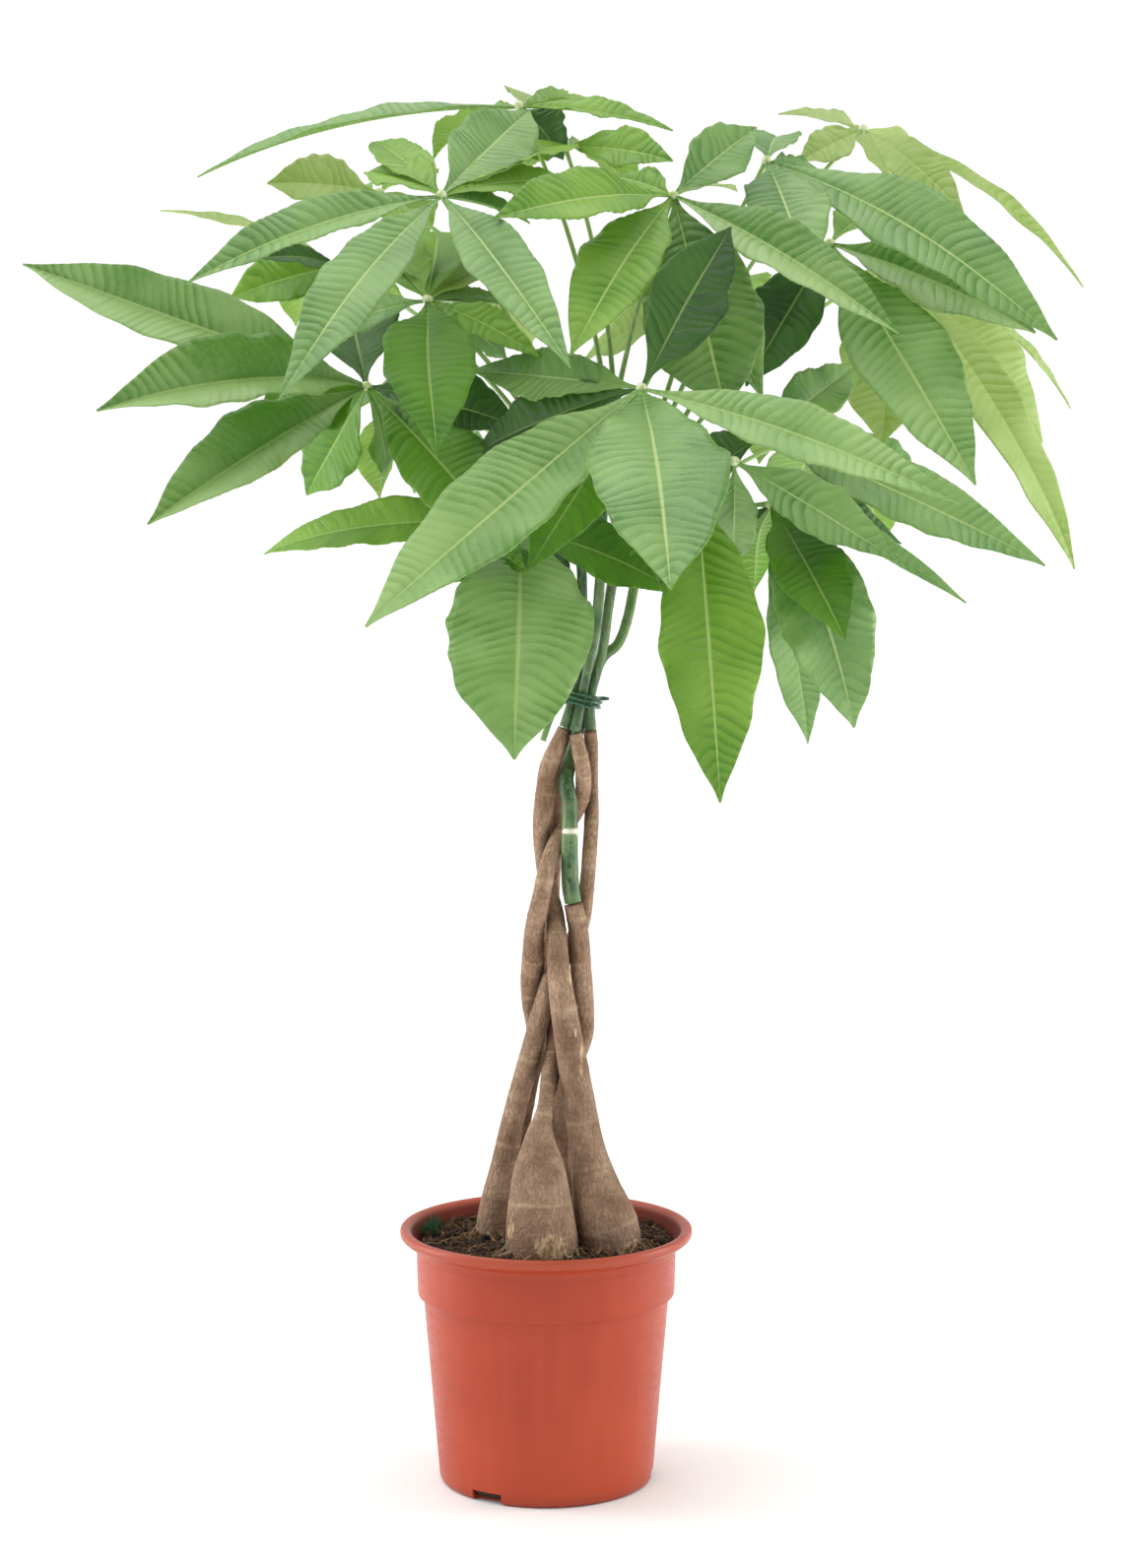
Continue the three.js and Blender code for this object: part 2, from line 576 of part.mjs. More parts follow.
function frondParts(frond, clearance) {
  const hub = place(frond.hub);
  const knob = new THREE.SphereGeometry(HUB_RADIUS, 6, 3);
  knob.translate(hub.x, hub.y, hub.z);
  const stalk = petiole(frond).subtract(clearance);
  const blades = frond.leaflets.map(([tip, width, facing, arch], index) =>
    leaflet(hub, place(tip), width, facing, arch, index * WAVE_SHIFT));
  return [stalk, solid(knob), ...blades];
}

// ---------------------------------------------------------------- tie round the shoots
// A soft wire wound round the shoots, with both ends turned outwards.
function tieBody() {
  const centre = place(TIE_CENTRE);
  const axis = place(TIE_ABOVE).sub(centre).normalize();
  const turn = new THREE.Quaternion().setFromUnitVectors(new THREE.Vector3(0, 0, 1), axis);
  const coil = [];
  for (let step = 0; step <= TIE_STEPS; step += 1) {
    const share = step / TIE_STEPS;
    const angle = TIE_START + 2 * Math.PI * TIE_TURNS * share;
    const height = TIE_PITCH * TIE_TURNS * (share - 0.5);
    coil.push(new THREE.Vector3(TIE_RADIUS * Math.cos(angle), TIE_RADIUS * Math.sin(angle), height));
  }
  const outwards = 1 + TIE_TAIL / TIE_RADIUS;
  const foot = coil[0].clone().multiplyScalar(outwards).setZ(coil[0].z - TIE_TAIL / 2);
  const top = coil[TIE_STEPS].clone().multiplyScalar(outwards).setZ(coil[TIE_STEPS].z + TIE_WIRE);
  const path = [foot, ...coil, top].map((point) => point.applyQuaternion(turn).add(centre));
  return tube(path, path.map(() => TIE_WIRE), TIE_SIDES, path.length - 1);
}

// ---------------------------------------------------------------- the plant in its pot
const PLASTIC = new THREE.MeshStandardMaterial({ color: 0xc45c42, roughness: 0.5 });
const PEAT = new THREE.MeshStandardMaterial({ color: 0x3a2a1c, roughness: 1 });
const BARK = new THREE.MeshStandardMaterial({ color: 0x968069, roughness: 0.85 });
const SHOOT_GREEN = new THREE.MeshStandardMaterial({ color: 0x4f7a3c, roughness: 0.6 });
const TIE_GREEN = new THREE.MeshStandardMaterial({ color: 0x1f5132, roughness: 0.4 });
const LEAF_GREEN = new THREE.MeshStandardMaterial({ color: 0x4f8a34, roughness: 0.45 });

const plant = new THREE.Group();
plant.add(piece('pot', potBody(), PLASTIC));
const holes = STEMS.map((rows) => limb(rows, STEM_SIDES, GAP));
plant.add(piece('soil', soilBody(holes), PEAT));
STEMS.forEach((rows, index) => {
  plant.add(piece(`stem_${index + 1}`, limb(rows, STEM_SIDES, 0), BARK));
});
SHOOTS.forEach((rows, index) => {
  let shoot = limb(rows, SHOOT_SIDES, 0);
  if (index === STUB_SHOOT) {
    shoot = shoot.add(limb(STUB, STUB_SIDES, 0));
  }
  plant.add(piece(`shoot_${index + 1}`, shoot, SHOOT_GREEN));
});
plant.add(piece('tie', tieBody(), TIE_GREEN));
const clearances = SHOOTS.map((rows) => limb(rows, SHOOT_SIDES, GAP));
for (const [name, frond] of Object.entries(FRONDS)) {
  const [stalk, ...rest] = frondParts(frond, clearances[frond.shoot]);
  const body = rest.reduce((joined, next) => joined.add(next), stalk);
  plant.add(piece(name, outerBody(body), LEAF_GREEN));
}

export default plant;
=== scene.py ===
"""The potted money tree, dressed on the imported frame: leaves, bark, shoots, tie, soil and pot."""
import math
from collections import namedtuple

import bpy
import numpy as np
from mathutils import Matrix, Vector


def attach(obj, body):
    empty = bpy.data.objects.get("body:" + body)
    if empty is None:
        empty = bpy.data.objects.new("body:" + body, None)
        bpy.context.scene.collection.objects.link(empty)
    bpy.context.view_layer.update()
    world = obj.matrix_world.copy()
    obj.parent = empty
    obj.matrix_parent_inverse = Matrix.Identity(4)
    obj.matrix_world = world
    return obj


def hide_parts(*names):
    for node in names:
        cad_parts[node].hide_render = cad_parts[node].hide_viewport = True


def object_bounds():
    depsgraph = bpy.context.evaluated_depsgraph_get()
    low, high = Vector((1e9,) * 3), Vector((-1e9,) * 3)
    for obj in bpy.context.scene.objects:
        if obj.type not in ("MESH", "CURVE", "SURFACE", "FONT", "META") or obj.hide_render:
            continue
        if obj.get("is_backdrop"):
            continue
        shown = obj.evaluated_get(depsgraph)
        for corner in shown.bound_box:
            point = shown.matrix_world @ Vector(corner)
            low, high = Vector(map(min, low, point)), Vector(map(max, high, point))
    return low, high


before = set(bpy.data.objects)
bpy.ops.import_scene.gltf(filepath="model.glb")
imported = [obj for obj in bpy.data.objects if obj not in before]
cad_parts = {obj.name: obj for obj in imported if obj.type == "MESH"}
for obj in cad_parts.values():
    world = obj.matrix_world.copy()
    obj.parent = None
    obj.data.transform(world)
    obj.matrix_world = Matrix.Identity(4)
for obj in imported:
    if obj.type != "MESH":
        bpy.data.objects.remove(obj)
cad_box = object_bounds()

MM = 0.001
SEED = 7
BODY = "root"

# A full turn in radians, to two places, for random draws and waves.
CIRCLE = 6.28

# ---- sizes, in millimetres
POT_HEIGHT = 167
RIM_RADIUS = 95
LIP_HEIGHT = 6
FLARE_DEPTH = 11
COLLAR_TOP_RADIUS = 84.6
COLLAR_FOOT_RADIUS = 83.6
COLLAR_HEIGHT = 43.5
BODY_TOP_RADIUS = 80
FOOT_RADIUS = 69.8
FOOT_ROUND = 4
WALL = 1.6
FLOOR_THICKNESS = 2
POT_SIDES = 180
NOTCH_WIDTH = 22
NOTCH_HEIGHT = 7.5
NOTCH_ANGLES = (-123, -3, 117)
DRAIN_HOLE_RADIUS = 4
DRAIN_HOLE_RING = 42
DRAIN_HOLES = 6
COLLAR_FOOT = POT_HEIGHT - COLLAR_HEIGHT
FLARE_FOOT = POT_HEIGHT - FLARE_DEPTH

SOIL_TOP = 157
SOIL_CROWN = 3
SOIL_RINGS = 64
SOIL_SPOKES = 200
SOIL_GAP = 0.4
SOIL_LUMPS = ((38, 1.0), (17, 0.9), (8, 0.8), (4.2, 0.6), (2.4, 0.4))
LOOSE_REACH = 80
CRUMBS = 1500
FIBRES = 420
MOSS_BLADES = 900
DARK_CHIPS = 46

PETIOLE_FOOT_RADIUS = 1.8
PETIOLE_TOP_RADIUS = 1.3
PETIOLE_RISE = 0.3
PETIOLE_LEAN = 0.22
HUB_RADIUS = 3.4
HUB_OVERLAP = 2.4

TIE_CENTRE = (591, 709, -0.6)
TIE_ABOVE = (597, 688, -0.6)
TIE_RADIUS = 12.2
TIE_WIRE = 1.3
TIE_TURNS = 2.3
TIE_PITCH = 3.1
TIE_START = 3.9
TIE_TAIL = 6

STEM_SIDES = 56
STEM_STEPS = 14
SHOOT_SIDES = 36
SHOOT_STEPS = 12
RING_GAPS = (16, 34)
RING_TILT = 1.2
RING_WIDTH = 1.1
RING_RELIEF = 0.28
JOINT_WIDTH = 3.2
JOINT_RELIEF = 0.7
SCAR_GAPS = (14, 26)
SCAR_RELIEF = 0.22
# Reach, in mm, of the painted shade where stems lie against each other.
HOLLOW_REACH = 6.5

# Half-width along the blade, for leaflets at least so wide.
OUTLINES = (
    (70, (
        (0, 0.05), (0.05, 0.09), (0.12, 0.24), (0.3, 0.68), (0.45, 0.92), (0.57, 1),
        (0.7, 0.92), (0.82, 0.7), (0.92, 0.34), (0.97, 0.12), (1, 0.02),
    )),
    (44, (
        (0, 0.05), (0.05, 0.08), (0.12, 0.2), (0.3, 0.76), (0.42, 0.95), (0.52, 1),
        (0.65, 0.9), (0.78, 0.66), (0.9, 0.31), (0.965, 0.1), (1, 0.02),
    )),
    (0, (
        (0, 0.05), (0.06, 0.1), (0.24, 0.62), (0.37, 0.9), (0.5, 1),
        (0.65, 0.86), (0.79, 0.6), (0.9, 0.28), (0.965, 0.1), (1, 0.02),
    )),
)
LEAST_HALF_WIDTH = 0.6
FOLD = 0.22
FOLD_RANGE = (0.7, 1.4)
WAVE = 0.09
WAVE_TURNS = 2.2
WAVE_SHIFT = 1.7
RUFFLE = 0.045
RUFFLE_TURNS = (4.5, 7.5)
MARGIN_WAVES = (((0.6, 1.3), 0.05), ((2, 3.5), 0.035), ((5, 8), 0.02))
BOW = 0.012
BLADE = 0.45
RIB_HALF_WIDTH = 0.9
RIB_DROP = 0.9
GROOVE = 0.5
GROOVE_WIDTH = 1.3
STATIONS = 120
HALF_COLUMNS = 8
VEIN_SPACING = 6.8
VEIN_SLANT = 0.5
VEIN_DRIFT = 0.4
VEIN_DRIFT_TURNS = (2.2, 4.4)
FULL_RIPPLE = 14
VEIN_SCALE = 20
BLADE_MAP = 0.48
# Steps of the painted shade and light between a blade's two halves.
HALF_SHADES = 6

# ---- places read from the photograph
# A place on the plant is (u, v, y): its pixel in the 1156 x 1592 photograph and its depth in mm.
PITCH = math.radians(5.84)
EYE = (15.2, -2054, 666)
FOCAL = 3265
CENTRE = (578, 796)
LONG_SIDE = 1592
SENSOR = 36

# ---- studio
HORIZON_LIGHT = 1.03
DOME_LIGHT = 0.72
OVERHEAD_LIGHT = 1.9
OVERHEAD_SPREAD = 75
OVERHEAD_FROM = (-0.35, 0.15, 2)
FLOOR_REACH = 60000
SOFTBOXES = (("left_softbox", -1.2), ("right_softbox", 1.2))
SOFTBOX_LIGHT = 8
SOFTBOX_BACK = 0.1
SOFTBOX_HEIGHT = 0.45
SOFTBOX_SIZE = (0.45, 1.1)

# Stems and shoots, foot to tip: a place and a radius in mm.
STEMS = (
    (
        (497, 1330, 10, 4), (498, 1275, 8, 9.5), (500, 1240, 5, 10.2), (510, 1190, 4, 8.8),
        (520, 1140, 3, 7.5), (530, 1100, 1, 7), (541, 1060, -1, 6.7), (552, 1020, -2, 6.4),
        (564, 985, 1, 6.3), (579, 960, 7, 5.8), (590.5, 935, 7, 5.4), (595.5, 900, 5, 4.9),
        (598.5, 860, 5, 4.7), (600.5, 825, 9, 4.6), (600, 803, 11, 4.7), (600, 780, 8, 4.7),
        (600, 761, 4, 4.6), (599, 742, 1, 4.2),
    ),
    (
        (628, 1330, -14, 8), (624, 1285, -20, 17), (616, 1245, -23, 19.8), (606, 1207, -22, 15.6),
        (595, 1160, -19, 11.2), (586, 1110, -16, 10.2), (575, 1041, -14, 8.8), (567, 985, -14, 7.4),
        (565, 950, -12, 6.4), (562.5, 925, -1, 5.7), (555, 895, 2, 5.3), (550, 857, 4.6, 5.2),
        (550.5, 830, 2, 6.1), (554, 803, 0, 6.5), (557, 780, -1, 6.1), (564, 761, -2, 5.3),
        (573, 740, -2, 4.2),
    ),
    (
        (508, 1300, 48, 4), (511, 1255, 46, 9), (516, 1215, 42, 9.4), (523, 1160, 34, 8),
        (535, 1098, 22, 7.4), (545, 1052, 15, 7), (541, 1018, 12, 7.2), (540, 995, 9, 7.3),
        (541.5, 972, 0, 7.3), (542.5, 945, -10, 6.4), (546, 926, -13, 6.2), (549, 912, -13.5, 5.8),
        (556, 880, -11, 5.6), (565, 855, -2, 5.3), (575, 838, 4, 5.2), (585, 822, 4, 5.2),
        (591, 806, 2, 5.1), (592, 790, -3, 5.2), (591, 777, -5, 5), (588, 763, -6, 4.8),
        (584, 744.8, -6, 4.2),
    ),
    (
        (547, 1345, -34, 6), (548, 1300, -40, 19), (549, 1262, -43, 22.8), (549, 1223, -42, 20.6),
        (548, 1185, -39, 16.2), (548, 1152, -34, 8.8), (552, 1130, -28, 5.2), (557, 1102, -14, 5.7),
        (559.5, 1085, -5.5, 6.4), (563, 1060, 1, 5.7), (564, 1020, 10, 5.6), (560, 985, 18, 6),
        (558, 945, 20, 6.2), (560, 905, 18, 5), (562, 875, 16, 4.8), (563, 840, 16, 5),
        (564, 805, 16, 4.6), (566, 770, 15, 4.2), (575, 745.5, 12, 3.8),
    ),
    (
        (588, 1315, 40, 4), (585, 1268, 39, 8.8), (580, 1228, 36, 9.2), (573, 1170, 31, 8.6),
        (572, 1125, 24, 8), (577, 1090, 14, 6.8), (592.5, 1050, 4, 6.2), (592, 1018, 1, 6.5),
        (589.5, 985, -2, 6.6), (587, 945, -7, 6.4), (582, 918.2, -7, 6.1),
    ),
)
SHOOTS = (
    (
        (599, 740, 1, 3.8), (599, 710, -2, 3.2), (611, 662, -2, 3.2), (617, 620, -4, 3.2),
        (621, 592, -5, 3.4), (631, 520, -14, 3.2), (640, 470, -34, 3),
    ),
    (
        (573.6, 738, -2, 3.8), (581, 710, -2, 3.2), (590, 660, -6, 3.2), (591, 600, -12, 3.2),
        (588, 540, -18, 3.2), (578, 478, -24, 3),
    ),
    (
        (583.7, 742, -6, 3.8), (590, 710, -6, 3.2), (600, 662, -9, 3.2), (604, 640, -12, 3.2),
        (609, 590, -20, 3.2), (608, 530, -30, 3), (604, 500, -36, 3),
    ),
    (
        (576, 743.5, 11.6, 3.6), (584, 710, 5, 3.2), (600, 660, 9, 3.2), (608, 600, 16, 3.2),
        (612, 520, 16, 3.2), (620, 450, 12, 3.1), (626, 404, 8, 2.9),
    ),
    (
        (581.5, 916, -6.8, 5.4), (579, 900, -7.2, 5.6), (578, 870, -10.2, 5.3), (578.5, 842, -12, 5.1),
        (578, 815, -9.5, 5), (574.5, 791, -3, 4.9), (577.5, 777, 4, 4.7), (581.5, 762, 8, 4.4),
        (588, 738, 6, 3.7), (596, 710, 5, 3.2), (612, 668, 6, 3.2), (627, 654, 8, 3.2),
        (636, 632, 11, 3.2), (643, 598, 16, 3.2), (652, 540, 24, 3.2), (655, 480, 30, 3),
    ),
)
STUB_SHOOT = 1
STUB = ((580, 706, -3, 2.4), (570, 709, -6, 2.3), (560, 726, -8, 2.2), (551, 752, -9, 1.9))

# Marks seen on stems and shoots, by index: (u, v, half width, half height) in pixels.
PEELED = {
    0: ((499, 1262, 7, 7),),
    1: ((579, 990, 1.5, 12), (584, 1048, 1.6, 5), (590, 1075, 1.8, 16), (642, 1266, 8, 7)),
    3: ((561, 1268, 18, 12), (519, 1244, 3.5, 13)),
}
PALE_BANDS = {4: ((583, 844, 12, 3.2),)}
BROWN_SPOTS = {0: ((622, 590, 7, 9),), 1: ((548, 756, 6, 6),)}
DARK_DOTS = {4: ((578, 879, 2.2, 2.2), (578, 894, 2.2, 2.2))}

# A leaf: its shoot, the stalk's share of the way along it, its hub and its leaflets. A leaflet: its tip's
# place, its width in mm, its turn to the viewer and its arch, both in hundredths, and its tone.
Frond = namedtuple("Frond", "shoot along hub leaflets")
FRONDS = {
    "leaf_a": Frond(0, 0.97, (651, 394, -170), (
        (681, 598, -330, 74, 50, 7, "mid"), (371, 636, -290, 58, 60, 3, "bright"),
        (479, 377, -80, 34, 70, 3, "rippled"), (742, 230, -125, 46, 95, 1, "deep"),
        (975, 511, -250, 38, 60, 4, "bright"), (478, 462, -90, 42, 60, 4, "deep"),
        (536, 580, -200, 44, 60, 3, "vivid"),
    )),
    "leaf_b": Frond(1, 0.98, (448, 198, -120), (
        (190, 287, -180, 36, 50, 6, "mid"), (283, 405, -270, 42, 60, 5, "mid"),
        (579, 373, -250, 38, 60, 5, "mid"), (538, 112, 20, 48, 85, 2, "mid"),
        (377, 144, 20, 32, 50, 4, "fresh"), (582, 189, 0, 43, 55, 5, "fresh"),
        (374, 174, -40, 36, 50, 4, "fresh"), (590, 150, 75, 42, 40, 5, "fresh"),
        (538, 226, -60, 30, 50, 4, "mid"),
    )),
    "leaf_c": Frond(3, 0.99, (683, 198, -60), (
        (500, 222, -170, 46, 55, 4, "fresh"), (579, 360, -180, 48, 60, 4, "fresh"),
        (624, 179, -30, 26, 50, 4, "fresh"), (768, 129, -10, 36, 80, 3, "mid"),
        (748, 193, 60, 22, 40, 4, "lime"), (912, 338, -160, 40, 60, 4, "folded"),
        (736, 416, -100, 74, 75, 3, "rippled"), (774, 405, -50, 40, 70, 4, "rippled"),
    )),
    "leaf_d": Frond(1, 0.9, (434, 304, -90), (
        (443, 461, -220, 54, 55, 6, "vivid"), (548, 362, -120, 26, 50, 4, "fresh"),
        (535, 318, 20, 28, 50, 4, "mid"), (300, 352, -80, 34, 50, 6, "mid"),
        (445, 235, 30, 50, 80, 3, "fresh"), (515, 365, -60, 28, 60, 4, "mid"),
        (380, 254, 10, 40, 60, 4, "fresh"), (522, 268, 60, 42, 45, 5, "lime"),
        (540, 348, 90, 52, 50, 5, "lime"),
    )),
    "leaf_e": Frond(1, 0.78, (372, 392, -40), (
        (23, 268, 20, 46, 70, 1, "folded"), (98, 417, -140, 50, 65, 12, "folded"),
        (150, 532, -150, 48, 65, 3, "folded"), (311, 503, 20, 43, 70, 3, "vivid"),
        (533, 578, -150, 52, 60, 4, "vivid"), (392, 480, 10, 54, 50, 4, "vivid"),
        (352, 285, 60, 60, 80, 2, "deep"), (262, 430, -60, 58, 60, 3, "vivid"),
        (525, 432, -70, 50, 60, 4, "deep"),
    )),
    "leaf_f": Frond(4, 0.98, (876, 131, 150), (
        (790, 115, 200, 24, 30, 4, "lime"), (811, 164, 130, 30, 60, 3, "lime"),
        (979, 219, 90, 34, 60, 6, "lime"), (1100, 291, 180, 26, 35, 8, "lime"),
        (905, 190, 300, 43, 30, 8, "lime"),
    )),
    "leaf_g": Frond(4, 0.996, (778, 163, 20), (
        (820, 277, -90, 50, 70, 4, "mid"), (1073, 345, -80, 52, 60, 8, "mid"),
        (791, 140, 130, 36, 40, 5, "mid"), (850, 190, 70, 34, 40, 5, "mid"),
    )),
    "leaf_h": Frond(4, 0.963, (842, 247, 20), (
        (1051, 338, -40, 52, 60, 5, "folded"), (990, 492, -90, 60, 70, 4, "bright"),
        (757, 392, 0, 46, 60, 4, "deep"), (907, 215, 150, 34, 30, 5, "fresh"),
    )),
    "leaf_r": Frond(4, 0.946, (905, 270, 170), (
        (1058, 450, 220, 52, 60, 6, "lime"), (1091, 578, 150, 40, 50, 10, "lime"),
        (1087, 414, 260, 32, 40, 8, "lime"), (895, 452, 160, 66, 60, 4, "lime"),
        (890, 340, 310, 50, 40, 8, "lime"),
    )),
    "leaf_k": Frond(4, 0.927, (775, 443, -60), (
        (1061, 574, -120, 42, 65, 5, "mid"), (868, 372, 40, 34, 80, 3, "rippled"),
        (735, 470, 20, 30, 60, 4, "mid"), (845, 480, 70, 40, 40, 5, "mid"),
        (690, 505, -10, 40, 60, 5, "deep"),
    )),
    "leaf_j": Frond(0, 0.9, (745, 468, -100), (
        (910, 569, -125, 38, 65, 2, "mid"), (981, 612, -80, 18, 60, 3, "mid"),
        (742, 575, -20, 30, 60, 5, "mid"), (915, 552, -60, 26, 60, 3, "deep"),
    )),
    "leaf_p": Frond(4, 0.906, (782, 512, -40), (
        (858, 650, -130, 46, 60, 5, "vivid"), (867, 739, -70, 62, 65, 19, "mid"),
        (820, 755, 30, 34, 65, 8, "mid"), (838, 664, -20, 43, 60, 4, "vivid"),
        (765, 600, 90, 38, 50, 6, "vivid"), (700, 600, 20, 44, 60, 5, "deep"),
    )),
    "leaf_m": Frond(0, 0.8, (705, 478, -80), (
        (731, 815, -140, 62, 60, 6, "fresh"), (672, 600, -170, 44, 60, 5, "vivid"),
        (640, 562, -115, 42, 60, 4, "vivid"),
    )),
    "leaf_n": Frond(1, 0.5, (530, 535, -60), (
        (522, 771, -190, 84, 50, 12, "bright"), (604, 500, -115, 40, 70, 3, "mid"),
        (470, 470, 60, 36, 60, 4, "deep"), (268, 562, -20, 34, 60, 12, "fresh"),
        (688, 600, -40, 43, 60, 5, "vivid"), (448, 592, -130, 58, 60, 4, "vivid"),
        (560, 640, 20, 40, 60, 5, "deep"),
    )),
    "leaf_t": Frond(3, 0.82, (527, 107, 40), (
        (200, 179, 60, 30, 25, 6, "mid"), (619, 110, 120, 30, 30, 6, "fresh"),
        (560, 130, 200, 40, 30, 8, "lime"), (440, 160, 170, 36, 30, 6, "fresh"),
        (683, 132, 30, 26, 35, 4, "fresh"), (572, 162, 50, 36, 50, 5, "deep"),
    )),
    "leaf_s": Frond(3, 0.93, (573, 148, 80), (
        (683, 163, 60, 40, 50, 4, "fresh"), (640, 200, 210, 43, 40, 8, "fresh"),
        (520, 190, 220, 44, 40, 8, "fresh"), (510, 165, 60, 30, 50, 4, "fresh"),
    )),
    "leaf_u": Frond(3, 0.78, (385, 195, 120), (
        (271, 186, 100, 42, 65, 6, "lime"), (320, 240, 230, 46, 40, 8, "fresh"),
        (420, 260, 260, 46, 40, 8, "fresh"), (440, 175, 220, 36, 40, 5, "fresh"),
    )),
    "leaf_v": Frond(1, 0.86, (345, 270, 140), (
        (233, 303, 120, 42, 65, 6, "fresh"), (163, 213, 200, 22, 20, 5, "lime"),
        (262, 262, 60, 34, 60, 4, "deep"), (300, 330, 260, 48, 40, 8, "fresh"),
        (390, 340, 250, 46, 40, 8, "fresh"), (520, 280, 200, 40, 40, 5, "lime"),
    )),
    "leaf_w": Frond(2, 0.95, (505, 450, 110), (
        (420, 500, 190, 46, 40, 8, "mid"), (465, 575, 260, 48, 40, 10, "fresh"),
        (550, 575, 270, 48, 40, 10, "mid"), (590, 490, 230, 43, 40, 8, "fresh"),
    )),
    "leaf_x": Frond(4, 0.885, (835, 440, 190), (
        (950, 520, 240, 50, 40, 8, "mid"), (890, 560, 300, 50, 40, 10, "fresh"),
        (800, 545, 310, 48, 40, 10, "mid"), (770, 470, 280, 43, 40, 8, "fresh"),
    )),
    "leaf_y": Frond(3, 0.7, (720, 300, 190), (
        (760, 390, 300, 50, 40, 10, "fresh"), (700, 385, 330, 46, 40, 10, "mid"),
        (760, 300, 330, 48, 40, 8, "fresh"), (700, 250, 320, 43, 40, 8, "mid"),
        (602, 288, 230, 50, 50, 5, "lime"), (592, 366, 250, 46, 50, 5, "lime"),
    )),
    "leaf_z": Frond(1, 0.7, (430, 400, 150), (
        (330, 430, 230, 43, 40, 8, "mid"), (385, 505, 250, 46, 40, 10, "fresh"),
        (455, 500, 290, 46, 40, 10, "mid"), (500, 420, 260, 43, 40, 8, "fresh"),
    )),
}


# ---- points and curves
def place(spot):
    """The point, in mm, that shows at pixel (u, v) at depth y."""
    u, v, y = spot
    right = (u - CENTRE[0]) / FOCAL
    rise = (CENTRE[1] - v) / FOCAL
    forward = math.cos(PITCH) + rise * math.sin(PITCH)
    upward = -math.sin(PITCH) + rise * math.cos(PITCH)
    reach = (y - EYE[1]) / forward
    return np.array((EYE[0] + reach * right, y, EYE[2] + reach * upward))


def seen(points):
    """The pixels where points, in mm, show in the photograph."""
    x, y, z = (points - EYE).T
    forward = y * math.cos(PITCH) - z * math.sin(PITCH)
    upward = y * math.sin(PITCH) + z * math.cos(PITCH)
    return CENTRE[0] + FOCAL * x / forward, CENTRE[1] - FOCAL * upward / forward


def on_soil(u, v):
    """x and y of the point at the soil's height that shows at pixel (u, v)."""
    ray = place((u, v, 0)) - EYE
    return (EYE + ray * (SOIL_TOP - EYE[2]) / ray[2])[:2]


def unit(vectors):
    """Vectors scaled to length 1, along the last axis."""
    return vectors / np.maximum(np.linalg.norm(vectors, axis=-1, keepdims=True), 1e-9)


def around(count):
    """Even angles round a circle."""
    return 2 * np.pi * np.arange(count) / count


def through(table, t):
    """A smooth curve through (place, value) pairs, with no overshoot at its peaks."""
    x, y = np.array(table, float).T
    slope = np.gradient(y, x)
    turns = (y[1:-1] - y[:-2]) * (y[2:] - y[1:-1]) <= 0
    slope[1:-1][turns] = 0
    k = np.clip(np.searchsorted(x, t, side="right") - 1, 0, len(x) - 2)
    width = x[k + 1] - x[k]
    s = (t - x[k]) / width
    rise = (1 + 2 * s) * (1 - s) ** 2 * y[k] + s * (1 - s) ** 2 * width * slope[k]
    return rise + s**2 * (3 - 2 * s) * y[k + 1] + s**2 * (s - 1) * width * slope[k + 1]


def limb_curve(rows, steps):
    """Smooth line through a stem's or shoot's rows: points in mm, with the radius as a fourth number."""
    rows = np.array([(*place(row[:3]), row[3]) for row in rows])
    padded = np.vstack((2 * rows[0] - rows[1], rows, 2 * rows[-1] - rows[-2]))
    gaps = np.sqrt(np.linalg.norm(np.diff(padded[:, :3], axis=0), axis=1))
    s = np.arange(steps)[:, None] / steps
    result = []
    for k in range(len(rows) - 1):
        p0, p1, p2, p3 = padded[k : k + 4]
        d0, d1, d2 = gaps[k : k + 3]
        m1 = ((p1 - p0) / d0 - (p2 - p0) / (d0 + d1) + (p2 - p1) / d1) * d1
        m2 = ((p2 - p1) / d1 - (p3 - p1) / (d1 + d2) + (p3 - p2) / d2) * d1
        bend = (-3 * p1 + 3 * p2 - 2 * m1 - m2) * s**2 + (2 * p1 - 2 * p2 + m1 + m2) * s**3
        result.append(p1 + m1 * s + bend)
    return np.vstack((*result, rows[-1]))


def lengths_along(points):
    """Distance from the foot at each point of a line."""
    steps = np.linalg.norm(np.diff(points, axis=0), axis=1)
    return np.concatenate(((0,), np.cumsum(steps)))


def at_share(curve, share):
    """The point and direction at a share of a sampled curve."""
    place_along = share * (len(curve) - 1)
    k = min(int(place_along), len(curve) - 2)
    heading = curve[k + 1] - curve[k]
    return curve[k] + heading * (place_along - k), unit(heading)


def bezier(start, middle, end, t):
    """Points and directions on a quadratic curve."""
    t = t[:, None]
    points = (1 - t) ** 2 * start + 2 * t * (1 - t) * middle + t**2 * end
    return points, unit(2 * (1 - t) * (middle - start) + 2 * t * (end - middle))


def dice(*stream):
    """Random numbers that are always the same for one stream."""
    return np.random.default_rng([SEED, *stream])


def ripples(count, turns, rates, angles, lengths, rng):
    """Random waves round and along a tube, on a grid of lengths by angles, about -1 to 1."""
    total = np.zeros((len(lengths), len(angles)))
    for _ in range(count):
        turn, rate = rng.integers(*turns), rng.uniform(*rates) * rng.choice((-1, 1))
        phase, weight = rng.uniform(0, CIRCLE), rng.uniform(0.5, 1)
        total += weight * np.sin(turn * angles[None] + rate * lengths[:, None] + phase)
    return total / math.sqrt(count)


# ---- mesh parts
def part(points, faces, slot=0, uv=None):
    """Points in mm, faces and a material number, with a map and marks for each point."""
    uv = np.zeros((len(points), 2)) if uv is None else uv
    return {"points": points, "faces": faces, "slot": slot, "uv": uv, "marks": np.zeros((len(points), 4))}


